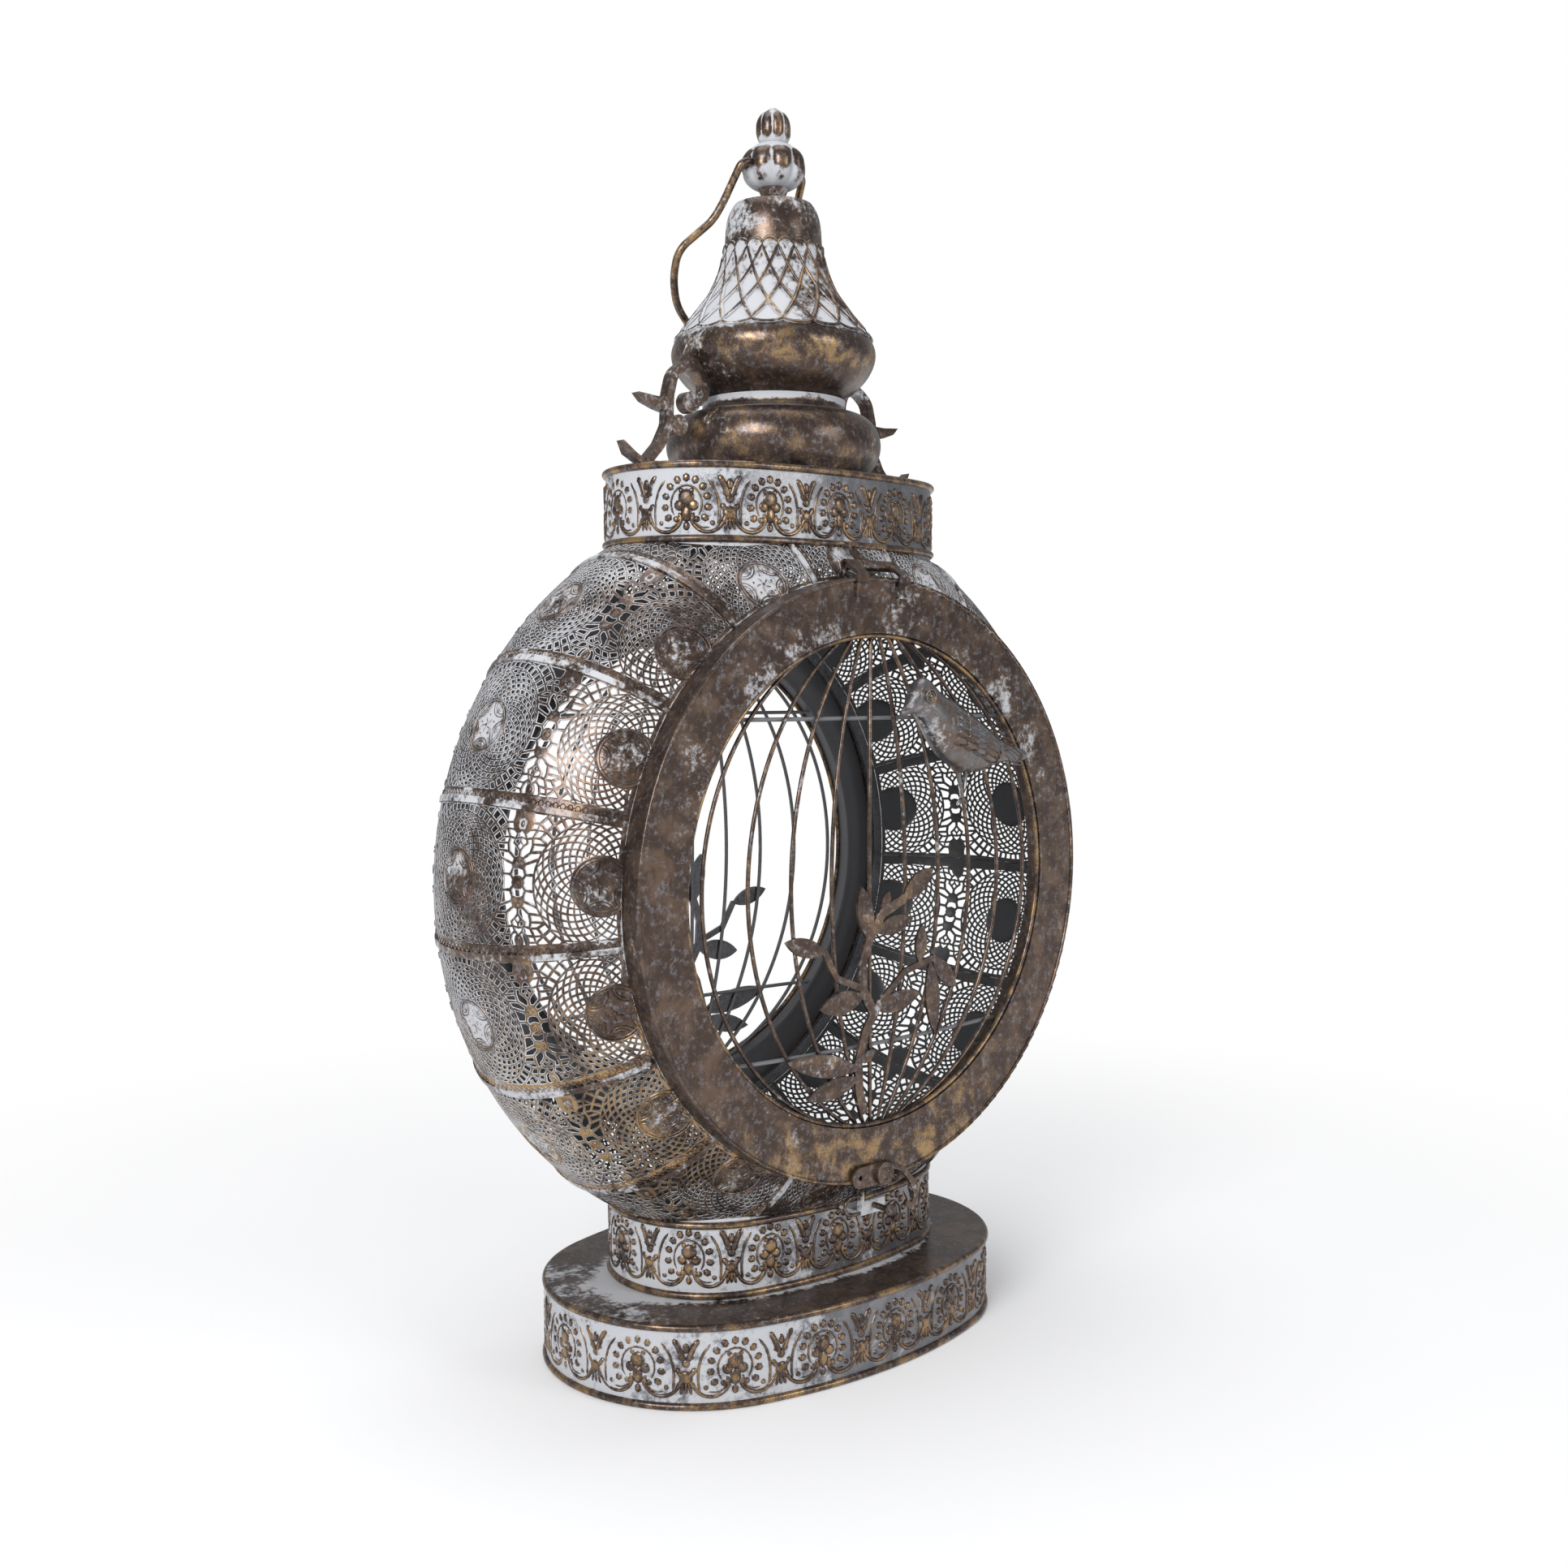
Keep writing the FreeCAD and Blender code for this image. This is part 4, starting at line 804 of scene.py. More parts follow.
def blend_colours(tree, share, first, second):
    node = put(tree, "ShaderNodeMix", data_type="RGBA")
    feed(tree, node, {"Factor": share})
    for socket, value in ((node.inputs[6], first), (node.inputs[7], second)):
        if isinstance(value, bpy.types.NodeSocket):
            tree.links.new(value, socket)
        else:
            socket.default_value = (*value, 1.0)
    return node.outputs[2]


def new_group(name, inputs, outputs):
    """An empty node group with named sockets."""
    group = bpy.data.node_groups.new(name, "ShaderNodeTree")
    for label, kind, default in inputs:
        socket = group.interface.new_socket(label, in_out="INPUT", socket_type="NodeSocket" + kind)
        if default is not None:
            socket.default_value = default
    for label, kind in outputs:
        group.interface.new_socket(label, in_out="OUTPUT", socket_type="NodeSocket" + kind)
    return group, group.nodes.new("NodeGroupInput"), group.nodes.new("NodeGroupOutput")


def aged_paint_group():
    """Bronze paint with a whitewash in its hollows, painted light on a lit side through its wash input, gold
    on its high parts and fine pits.
    """
    if "aged_paint" in bpy.data.node_groups:
        return bpy.data.node_groups["aged_paint"]
    group, given, out = new_group(
        "aged_paint",
        [("Place", "Vector", None), ("Relief", "Float", 0.5), ("Wash and light", "Float", 0.5), ("Gold", "Float", 0.3),
         ("Grain", "Float", 1.0),
         ("Bronze", "Color", None), ("Brown", "Color", None), ("Gold colour", "Color", None),
         ("Wash colour", "Color", None), ("Haze", "Color", None)],
        [("Color", "Color"), ("Roughness", "Float"), ("Metallic", "Float"), ("Height", "Float")])
    place = given.outputs["Place"]
    broad = noise(group, place, 28.0, 3.0, 0.6, 0.4)
    patch = noise(group, place, 95.0, 5.0, 0.65, 0.3)
    speck = noise(group, place, 420.0, 4.0, 0.7)
    fine = noise(group, place, 1300.0, 2.0, 0.6)
    relief = given.outputs["Relief"]
    base = blend_colours(group, spread(group, patch, 0.38, 0.66), given.outputs["Bronze"],
                         given.outputs["Brown"])
    haze_share = product(group, spread(group, speck, 0.5, 0.68), 0.6)
    base = blend_colours(group, haze_share, base, given.outputs["Haze"])
    # The wash input brings real wash and, for some pieces, painted light on their left side.
    wash_and_light_mix = total(group, product(group, broad, 0.9), product(group, patch, 0.5),
                     product(group, speck, 0.6), -0.12, product(group, opposite(group, relief), 0.55),
                     given.outputs["Wash and light"])
    wash_and_light = spread(group, wash_and_light_mix, 1.46, 1.66)
    gold_mix = total(group, product(group, patch, 0.7), product(group, relief, 0.45), given.outputs["Gold"],
                     product(group, fine, 0.25))
    gold = spread(group, gold_mix, 1.1, 1.28)
    coloured = blend_colours(group, gold, base, given.outputs["Gold colour"])
    coloured = blend_colours(group, wash_and_light, coloured, given.outputs["Wash colour"])
    rough = total(group, 0.3, product(group, wash_and_light, 0.35),
                  product(group, calc(group, "SUBTRACT", speck, 0.5), 0.3))
    metal = product(group, opposite(group, wash_and_light), 0.75)
    height = product(group, total(group, product(group, speck, 0.5), product(group, patch, 0.5)),
                     given.outputs["Grain"])
    for label, value in (("Color", coloured), ("Roughness", rough), ("Metallic", metal), ("Height", height)):
        group.links.new(value, out.inputs[label])
    return group


def attribute(tree, name):
    return put(tree, "ShaderNodeAttribute", attribute_name=name).outputs["Fac"]


GREY_FINISHES = ("frieze_ground", "shaded_rim", "shaded_leaves")
BIRD_FINISHES = ("feather_patina", "feather_edges")


def aged_finish(name, wash_and_light, gold, relief=None, grain=1.0, inside=None):
    """A material of the aged paint, over the relief and inner side of a piece's own attributes."""
    c = colours()
    dark, light = (c.ground, c.haze) if name in GREY_FINISHES else (c.bronze, c.brown)
    if name in BIRD_FINISHES:
        dark, light = c.ground, c.brown
    material, shader = new_material(name)
    tree = material.node_tree
    place = put(tree, "ShaderNodeTexCoord").outputs["Object"]
    paint = put(tree, "ShaderNodeGroup", node_tree=aged_paint_group())
    feed(tree, paint, {"Place": place, "Wash and light": 0.0 if callable(wash_and_light) else wash_and_light,
                       "Gold": 0.0 if callable(gold) else gold, "Grain": grain,
                       "Bronze": (*dark, 1), "Brown": (*light, 1), "Gold colour": (*c.gold, 1),
                       "Wash colour": (*c.wash_and_light, 1), "Haze": (*c.haze, 1),
                       "Relief": attribute(tree, "relief") if relief is None else relief})
    bump = feed(tree, put(tree, "ShaderNodeBump"), {"Strength": 0.35, "Distance": 0.4 * MM,
                                                    "Height": paint.outputs["Height"]})
    for socket, amount in (("Wash and light", wash_and_light), ("Gold", gold)):
        if callable(amount):
            tree.links.new(amount(tree, place), paint.inputs[socket])
    coloured, rough, metal = (paint.outputs[k] for k in ("Color", "Roughness", "Metallic"))
    if inside is not None:
        hidden = inside(tree, place)
        # For the pierced panels the inner grey is painted shade: their inner sides and hole walls inside the
        # drum are made near black.
        coloured = blend_colours(tree, hidden, coloured, c.inner if inside is marked_inside else c.ground)
        rough = total(tree, product(tree, rough, opposite(tree, hidden)), product(tree, hidden, 0.5))
        metal = product(tree, metal, opposite(tree, hidden))
    feed(tree, shader, {"Base Color": coloured, "Roughness": rough, "Metallic": metal,
                        "Normal": bump.outputs[0]})
    return material


def marked_inside(tree, place):
    # Marks the panels' inner sides, which get the painted shade of the inner grey.
    return spread(tree, attribute(tree, "inside"), 0.35, 0.6)


def left_share(tree, x, start, end):
    """0 to 1 towards the left side."""
    return spread(tree, product(tree, x, -1.0), start, end)


def panel_wash_and_light(tree, place):
    """Whitewash all over, painted light whitening the drum's left crown where the light falls, and more
    white towards its top.
    """
    x, y, z = axes(tree, place)
    # side is painted light: the left crown that faces the light is whitened.
    side = product(tree, left_share(tree, x, 0.06, 0.15), band_mask(tree, y, 0.0, 22 * MM, 20 * MM))
    high = spread(tree, z, DRUM_Z + 0.03, DRUM_Z + 0.16)
    return total(tree, 0.19, product(tree, side, 0.16), product(tree, high, 0.12))


def panel_gold(tree, place):
    """Gold threads low on the left."""
    x, _, z = axes(tree, place)
    low = opposite(tree, spread(tree, z, DRUM_Z - 0.09, DRUM_Z - 0.01))
    return total(tree, 0.16, product(tree, low, left_share(tree, x, 0.03, 0.1), 0.22))


def pierced_finish():
    # Its wash is partly painted light on the left, and its inner grey is painted shade inside the drum.
    return aged_finish("whitewashed_lit_and_shaded_piercing", panel_wash_and_light, panel_gold, inside=marked_inside)


# ---- The friezes on the base, neck and collar ----
OVAL_STEPS = 720


def oval_surface(half_length, half_width, floor_z):
    """Places on an oval band from the distance round it, the height over its lower edge and the lift."""
    at, outward, around = oval_lines(half_length, half_width, 0.0, OVAL_STEPS)
    ticks = np.arange(OVAL_STEPS + 1) * around / OVAL_STEPS

    def surface(along, up, lift):
        along = np.mod(along, around)
        columns = [np.interp(along, ticks, np.append(values[:, k], values[0, k]))
                   for values in (at, outward) for k in (0, 1)]
        return np.stack([columns[0] + columns[2] * lift, columns[1] + columns[3] * lift, floor_z + up],
                        axis=-1)
    return surface, around


TULIP_PRONG = ((0.5, 15.4), (1.9, 18.4), (3.2, 21.2), (5.2, 23.8))
FOOT_SCROLL = ((2.4, 7.6), (4.6, 4.4), (8.2, 2.6), (12.4, 2.6), (16.0, 4.6), (17.6, 7.4), (16.4, 9.6))
SHELL_EDGE = ((5.4, 4.6), (4.9, 8.6), (5.2, 13.4), (6.8, 18.2), (9.8, 22.0))
SHELL_HEIGHT = 13.0
SHELL_PLACE = 20.0


def emboss_motif(work, along, scale, height):
    """One tulip on its cross, and half a pitch on, a shell of beads round its bulbs."""
    def place(x, y, side=1):
        return (along + side * x * MM * scale[0], y * MM * scale[1])

    def rib(points, half_width, share, side=1, smoothing=3):
        path = [place(x, y, side) for x, y in points]
        work.rib(curve_through(path, smoothing), half_width * MM, height * share)

    def dome(x, y, radius, share, stretch=1.0, turn=math.pi / 2, sides=10, side=1):
        work.dome(place(x, y, side), radius * MM, height * share, stretch, turn, sides)

    dome(0, 20.6, 1.2, 1.0, 1.6)
    dome(0, 15.0, 1.5, 1.1)
    dome(0, 9.6, 2.5, 1.2)
    rib(((0, 8.4), (0, 5.6), (0, 3.4)), 0.7, 0.9)
    for side in (-1, 1):
        rib(TULIP_PRONG, 1.15, 1.1, side)
        rib(((0.6, 9.8), (2.4, 11.2), (3.9, 13.2)), 1.05, 1.0, side)
        rib(((0.6, 9.2), (2.2, 7.6), (3.2, 5.4)), 1.05, 1.0, side)
        rib(((1.0, 7.6), (1.6, 5.4), (2.2, 3.2)), 0.6, 0.8, side)
        rib(FOOT_SCROLL, 0.75, 0.9, side)
        rib([(x * 0.9 + 1.9, y + 1.5) for x, y in FOOT_SCROLL[2:5]], 0.35, 0.6, side)
        rib(SHELL_EDGE, 0.55, 0.7, side)
        dome(15.2, 7.2, 1.1, 1.0, side=side)
        dome(8.0, 5.8, 0.9, 0.8, side=side)
        dome(2.6, 17.0, 0.6, 0.6, side=side)
    far = SHELL_PLACE
    dome(far, SHELL_HEIGHT + 2.4, 2.9, 1.3)
    dome(far, SHELL_HEIGHT - 3.6, 2.0, 1.1, 1.5)
    dome(far, SHELL_HEIGHT - 8.4, 1.2, 0.9, 1.3)
    for side in (-1, 1):
        dome(far + side * 3.2, SHELL_HEIGHT - 0.6, 1.9, 1.1)
        dome(far + side * 3.0, SHELL_HEIGHT - 5.6, 1.2, 0.9)
        dome(far + side * 2.4, SHELL_HEIGHT + 5.0, 0.9, 0.8)
    rib([(far + 7.2 * math.cos(a), SHELL_HEIGHT + 7.0 * math.sin(a))
         for a in (math.radians(-38 + 256 * k / 16) for k in range(17))], 0.4, 0.7, smoothing=1)
    for k in range(11):
        angle = math.radians(-32 + 24.4 * k)
        dome(far + 10.1 * math.cos(angle), SHELL_HEIGHT + 9.9 * math.sin(angle), 1.35, 1.0, 1.15, angle, 6)


FRIEZES = (("base_frieze", "base_band", 15, BASE_HALF_LENGTH, BASE_HALF_WIDTH),
           ("neck_frieze", "neck_band", 12, NECK_HALF_LENGTH, NECK_HALF_WIDTH),
           ("collar_frieze", "collar_band", 12, NECK_HALF_LENGTH, NECK_HALF_WIDTH))
MOTIF_PITCH = 40.0 * MM
MOTIF_HEIGHT = 25.5 * MM
BEAD_ALLOWANCE = 3.2 * MM
FRIEZE_STOUTNESS = 1.32


def frieze_wash_and_light(tree, place):
    """A little wash all round, whiter towards the left: painted light where the light falls."""
    x, _, _ = axes(tree, place)
    return total(tree, 0.12, product(tree, left_share(tree, x, 0.02, 0.11), 0.3))


class LANTERN_OT_friezes(bpy.types.Operator):
    """Emboss the tulips, scrolls and beads round the base, the neck and the collar"""
    bl_idname = "lantern.friezes"
    bl_label = "Friezes"

    def execute(self, context):
        # The friezes' left side is whitened as painted light.
        material = aged_finish("gilded_scrolls", frieze_wash_and_light, 0.27)
        for name, node, count, half_length, half_width in FRIEZES:
            low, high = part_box(node)
            foot = low.z + BEAD_ALLOWANCE
            surface, around = oval_surface(half_length, half_width, foot)
            work = Embossing(surface, FRIEZE_STOUTNESS)
            scale = (around / count / MOTIF_PITCH, (high.z - BEAD_ALLOWANCE - foot) / MOTIF_HEIGHT)
            for i in range(count):
                emboss_motif(work, around * i / count, scale, sizes().frieze_relief)
            finish_piece(work.build(name), "body", material)
        return {"FINISHED"}


# ---- The bell's lattice and the finial's lobes ----
LATTICE_LOW = 458.0 * MM
LATTICE_HIGH = 494.0 * MM
LATTICE_LEAN = 2.0  # ribs that each rib crosses on its way up
LATTICE_STEPS = 18
LATTICE_RIB = 1.05 * MM
ARCH_RIB = 0.95 * MM
ARCHES = ((LATTICE_HIGH, 3.2 * MM), (LATTICE_LOW, -2.2 * MM))
LATTICE_DOTS = ((0.2, 0.5), (0.42, 0.0), (0.64, 0.5), (0.86, 0.0))


def turned_profile(node, step=0.8 * MM):
    """Radius of a turned piece at each height, read from its mesh."""
    places = coordinates(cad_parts[node].data)
    radius = np.hypot(places[:, 0], places[:, 1])
    heights = np.unique(np.round(places[:, 2] / step)) * step
    widest = np.array([radius[np.abs(places[:, 2] - z) <= step].max() for z in heights])
    return heights, widest


def lattice_wash_and_light(tree, place):
    """The ribs' own wash, with painted light making it whiter to the left."""
    x, _, _ = axes(tree, place)
    return total(tree, 0.16, product(tree, left_share(tree, x, 0.0, 0.035), 0.35))


class LANTERN_OT_bell_lattice(bpy.types.Operator):
    """Lay the crossing ribs and the arches round the bell's shoulder"""
    bl_idname = "lantern.bell_lattice"
    bl_label = "Bell Lattice"

    def execute(self, context):
        heights, widest = turned_profile("bell")

        def surface(turn, up, lift):
            radius = np.interp(up, heights, widest) + lift
            return np.stack([radius * np.cos(turn), radius * np.sin(turn), up], axis=-1)

        s = sizes()
        tall = LATTICE_HIGH - LATTICE_LOW
        work = RadialEmbossing(surface)
        step = math.tau / s.lattice_count
        for i in range(s.lattice_count):
            for side in (-1, 1):
                path = [(i * step + side * step * LATTICE_LEAN * k / LATTICE_STEPS,
                         LATTICE_LOW + tall * k / LATTICE_STEPS) for k in range(LATTICE_STEPS + 1)]
                work.rib(path, LATTICE_RIB, s.lattice_relief)
            for level, bow in ARCHES:
                arch = [((i + 0.5) * step + step / 2 * math.cos(a), level + bow * math.sin(a))
                        for a in (math.pi * k / 8 for k in range(9))]
                work.rib(arch, ARCH_RIB, s.lattice_relief)
            for share, shift in LATTICE_DOTS:
                work.dome(((i + shift) * step, LATTICE_LOW + tall * share), 0.8 * MM,
                          s.lattice_relief * 0.5, 1.4, math.pi / 2, 6)
        finish_piece(work.build("bell_lattice"), "body",
                     aged_finish("gilded_lattice", lattice_wash_and_light, 0.24))
        return {"FINISHED"}


class RadialEmbossing(Embossing):
    """Embossing whose along is a turn about the upright axis."""
    MEAN_RADIUS = 38.0 * MM

    def __init__(self, surface):
        super().__init__(lambda along, up, lift: surface(along / self.MEAN_RADIUS, up, lift))

    def rib(self, path, half_width, height, closed=False, taper=0.35):
        super().rib([(turn * self.MEAN_RADIUS, up) for turn, up in path], half_width, height, closed, taper)

    def dome(self, centre, radius, height, stretch=1.0, turn=0.0, sides=10):
        super().dome((centre[0] * self.MEAN_RADIUS, centre[1]), radius, height, stretch, turn, sides)


UNDER_BULB = 526.5 * MM
UNDER_BUD = 543.5 * MM


def finial_wash(tree, place):
    """Whitewash on the undersides of the bulb and of the bud."""
    _, _, z = axes(tree, place)
    under_bulb = band_mask(tree, z, UNDER_BULB, 2.5 * MM, 5 * MM)
    under_bud = band_mask(tree, z, UNDER_BUD, 1.5 * MM, 3 * MM)
    return total(tree, 0.2, product(tree, calc(tree, "MAXIMUM", under_bulb, under_bud), 0.45))


class LANTERN_OT_finial(bpy.types.Operator):
    """Turn the finial's bulb into eight lobes and its tip into a bud"""
    bl_idname = "lantern.finial"
    bl_label = "Finial"

    def execute(self, context):
        material = aged_finish("gilded_lobes", finial_wash, 0.2)
        for name, node, depth in (("lobed_bulb", "finial_bulb", 0.2), ("lobed_bud", "finial_tip", 0.13)):
            heights, widest = turned_profile(node)
            low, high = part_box(node)
            deselect_all()
            bpy.ops.mesh.primitive_uv_sphere_add(segments=64, ring_count=32, radius=1.0,
                                                 location=(0, 0, (low.z + high.z) / 2))
            bpy.ops.object.transform_apply(location=True, rotation=False, scale=False)
            piece = context.object
            piece.name = name
            places = coordinates(piece.data)
            share = np.clip((places[:, 2] - places[:, 2].min()) / np.ptp(places[:, 2]), 0, 1)
            up = low.z + share * (high.z - low.z)
            turn = np.arctan2(places[:, 1], places[:, 0])
            lobe = np.abs(np.sin(turn * sizes().lobes / 2)) ** 0.6
            waist = np.sin(math.pi * share ** 0.7)
            radius = np.interp(up, heights, widest) * (1 - depth * waist * (1 - lobe))
            flat = np.hypot(places[:, 0], places[:, 1]) < 1e-6
            radius = np.where(flat, 0, radius)
            set_coordinates(piece.data, np.stack([radius * np.cos(turn), radius * np.sin(turn), up], axis=1))
            set_mask(piece.data, "relief", lobe * np.clip(waist * 1.5, 0, 1))
            smooth(piece)
            finish_piece(piece, "body", material, [node])
        return {"FINISHED"}


# ---- The bird ----
def cut_slices(node, count):
    """Height limits and depth limits of a piece at even steps along X."""
    low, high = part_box(node)
    rows = []
    source = bmesh.new()
    source.from_mesh(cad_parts[node].data)
    for i in range(count):
        x = low.x + (high.x - low.x) * (0.004 + 0.992 * i / (count - 1))
        cut = source.copy()
        section = bmesh.ops.bisect_plane(cut, geom=[*cut.verts, *cut.edges, *cut.faces],
                                         plane_co=(x, 0, 0), plane_no=(1, 0, 0))["geom_cut"]
        spots = [v.co for v in section if isinstance(v, bmesh.types.BMVert)]
        rows.append((x, min(v.z for v in spots), max(v.z for v in spots),
                     min(v.y for v in spots), max(v.y for v in spots)))
        cut.free()
    source.free()
    return np.array(rows)


def scallops(along, across, pitch, width):
    """Height from 0 to 1 of overlapping feathers."""
    row = np.floor(along / pitch)
    phase = across / width + 0.5 * np.mod(row, 2)
    tip = (2 * np.abs(phase - np.floor(phase) - 0.5)) ** 2
    return np.mod(along / pitch + 0.55 * tip, 1.0)


# The lower outline and the legs, in mm along X and up from the floor
BELLY = ((0.0, 280.0), (9.6, 281.0), (17.3, 270.5), (27.6, 263.2), (43.4, 260.2), (67.9, 264.0),
         (84.0, 264.0))
BIRD_LEG = (((38.6, 264.0), (39.8, 257.0), (41.2, 251.6), (41.4, 247.6)), ((41.4, 249.6), (38.6, 246.2)),
            ((41.4, 249.6), (44.6, 246.6)), ((43.0, 263.4), (43.4, 257.6), (42.2, 251.6)))


def feather_places():
    """Start, heading, reach and width of each feather, in mm from the beak's tip and the floor."""
    for column, x in enumerate((30.0, 36.0, 42.0)):
        top, low = 292.0 - 0.5 * (x - 28.0), 277.0 - 0.36 * (x - 26.0)
        for k in range(5):
            yield (x - 0.8 * k, top - 1.2 - k * (top - low - 2.0) / 4), -28.0 + 3.0 * k, 8.4 + column, 3.8
    for k in range(5):
        yield (48.5 - 1.0 * k, 281.5 - 2.9 * k), -33.0 + 3.5 * k, 16.0, 3.4
    for k in range(3):
        yield (64.0, 273.6 - 2.0 * k), -27.0 + 2.0 * k, 16.0, 2.6


class LANTERN_OT_bird(bpy.types.Operator):
    """Shape the bird with its layered wing, round eye and tail feathers"""
    bl_idname = "lantern.bird"
    bl_label = "Bird"

    def execute(self, context):
        rows = cut_slices("bird", 120)
        rows[:, 1] = np.maximum(rows[:, 1], np.interp(rows[:, 0], *np.array(BELLY).T * MM) - 0.5 * MM)
        sides = 48
        ring = np.arange(sides) * math.tau / sides
        x, low, high, front, back = (rows[:, k][:, None] for k in range(5))
        up = (low + high) / 2 + (high - low) / 2 * np.sin(ring)
        depth = (front + back) / 2 - (back - front) / 2 * np.cos(ring)
        share = (x - x[0]) / (x[-1] - x[0]) + 0 * up
        breast = scallops(x - x[0], up - low, 3.4 * MM, 3.0 * MM) * np.clip((share - 0.2) / 0.1, 0, 1)
        outward = -np.cos(ring)
        lift = (0.3 * breast - 0.3) * MM * np.minimum(high - low, 20 * MM) / (20 * MM)
        depth = depth + lift * outward
        count = len(rows)
        points = np.stack([x + 0 * up, up, depth], axis=-1).reshape(-1, 3)[:, [0, 2, 1]]
        faces = [(i * sides + k, i * sides + (k + 1) % sides, (i + 1) * sides + (k + 1) % sides,
                  (i + 1) * sides + k) for i in range(count - 1) for k in range(sides)]
        faces += [tuple(range(sides))[::-1], tuple((count - 1) * sides + k for k in range(sides))]
        piece = new_piece("feathered_bird", points, faces)
        clean_up(piece, 0.02)
        places = coordinates(piece.data)
        near = ((places[:, None, [0, 2]] - points[None, :, [0, 2]]) ** 2).sum(axis=2).argmin(axis=1)
        set_mask(piece.data, "relief", np.clip(0.25 + 0.3 * breast, 0, 1).ravel()[near])
        smooth(piece, 45)
        bird = aged_finish("feather_patina", bird_wash, bird_gold)
        finish_piece(piece, "door", bird, ["bird"])
        low_corner, high_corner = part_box("bird")

        def flank(along, up, lift):
            at = [np.interp(along, rows[:, 0], rows[:, k]) for k in range(1, 5)]
            across = np.clip((up - (at[0] + at[1]) / 2) / ((at[1] - at[0]) / 2), -0.97, 0.97)
            skin = (at[2] + at[3]) / 2 - (at[3] - at[2]) / 2 * np.sqrt(1 - across ** 2)
            return np.stack([along, skin + 0.3 * MM - lift, up], axis=-1)

        wing = Embossing(flank)
        tall = sizes().feather_relief
        for start, heading, reach, width in feather_places():
            ahead = np.array([math.cos(math.radians(heading)), math.sin(math.radians(heading))])
            beside = np.array([-ahead[1], ahead[0]])
            base = np.array([low_corner.x, 0]) + np.array(start) * MM
            edge = [base + ahead * reach * MM * t + beside * width * MM * w
                    for t, w in ((0.0, 0.5), (0.45, 0.62), (0.85, 0.4), (1.0, 0.0), (0.85, -0.4),
                                 (0.45, -0.62), (0.0, -0.5))]
            wing.rib(curve_through(edge, 4), 0.5 * MM, tall, taper=0.3)
            wing.rib([base, base + ahead * reach * 0.8 * MM], 0.3 * MM, 0.6 * tall, taper=0.3)
            wing.dome(base + ahead * reach * 0.5 * MM, width * 0.5 * MM, 0.75 * tall,
                      stretch=reach / width, turn=math.radians(heading), sides=12)
        finish_piece(wing.build("bird_feathers"), "door",
                     aged_finish("feather_edges", 0.2, 0.12))
        eye_x = low_corner.x + 12.6 * MM
        eye_z = high_corner.z - 8.2 * MM
        at = rows[np.abs(rows[:, 0] - eye_x).argmin()]
        bulge = math.sqrt(max(0.0, 1 - ((eye_z - (at[1] + at[2]) / 2) / ((at[2] - at[1]) / 2)) ** 2))
        eye_y = (at[3] + at[4]) / 2 - (at[4] - at[3]) / 2 * bulge
        rings = [add_eye_ring(eye_x, eye_y, eye_z, wide, thick)
                 for wide, thick in ((2.9 * MM, 0.5 * MM), (1.7 * MM, 0.35 * MM))]
        bpy.ops.mesh.primitive_uv_sphere_add(segments=20, ring_count=12, radius=1.0 * MM,
                                             location=(eye_x, eye_y + 0.1 * MM, eye_z))
        eye = context.object
        for ring_piece in rings:
            ring_piece.select_set(True)
        bpy.ops.object.join()
        bpy.ops.object.transform_apply(location=True, rotation=True, scale=True)
        eye.name = "bird_eye"
        set_mask(eye.data, "relief", np.ones(len(eye.data.vertices)))
        smooth(eye)
        finish_piece(eye, "door", bird)
        plane_y = float((rows[60, 3] + rows[60, 4]) / 2)
        legs = Embossing(lambda a, up, lift: np.stack([a, plane_y + 0.5 * MM - lift, up], axis=-1))
        for path in BIRD_LEG:
            legs.rib(curve_through([(a * MM, up * MM) for a, up in path]), 0.8 * MM, 1.4 * MM, taper=0.6)
        finish_piece(legs.build("bird_legs"), "door", bird)
        return {"FINISHED"}


def add_eye_ring(x, y, z, wide, thick):
    """One raised ring round the bird's eye."""
    deselect_all()
    bpy.ops.mesh.primitive_torus_add(location=(x, y, z), rotation=(math.pi / 2, 0, 0), major_radius=wide,
                                     minor_radius=thick, major_segments=28, minor_segments=10)
    ring = bpy.context.object
    deselect_all()
    return ring


def bird_wash(tree, place):
    """A haze over the breast and tail, little on the head and shoulder."""
    x, _, z = axes(tree, place)
    breast = opposite(tree, spread(tree, total(tree, z, x), 0.29, 0.315))
    tail = spread(tree, x, 0.06, 0.085)
    return total(tree, 0.08, product(tree, calc(tree, "MAXIMUM", breast, tail), 0.16))


def bird_gold(tree, place):
    """Some gold all over, more in a band on the belly."""
    _, _, z = axes(tree, place)
    belly = band_mask(tree, z, 0.268, 4 * MM, 8 * MM)
    return total(tree, 0.2, product(tree, belly, 0.12))


# ---- Finishes of the carried-over pieces ----
RING_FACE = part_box("back_ring")[1].y
WIRE_RADIUS = 0.9 * MM
GRILLE_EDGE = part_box("back_wires")[0].y + WIRE_RADIUS
GRILLE_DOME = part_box("back_wires")[1].y - WIRE_RADIUS - GRILLE_EDGE
DOOR_BORE = 107.1 * MM
GRILLE_SPHERE = (DOOR_BORE ** 2 + GRILLE_DOME ** 2) / (2 * GRILLE_DOME)
GRILLE_MIDDLE = GRILLE_EDGE + GRILLE_DOME - GRILLE_SPHERE


def axes(tree, place):
    node = put(tree, "ShaderNodeSeparateXYZ")
    tree.links.new(place, node.inputs[0])
    return node.outputs


def band_mask(tree, value, centre, half_width, soft):
    """1 within a band of a value, fading to 0 over a soft edge."""
    away = calc(tree, "ABSOLUTE", calc(tree, "SUBTRACT", value, centre))
    return opposite(tree, spread(tree, away, half_width, half_width + soft))


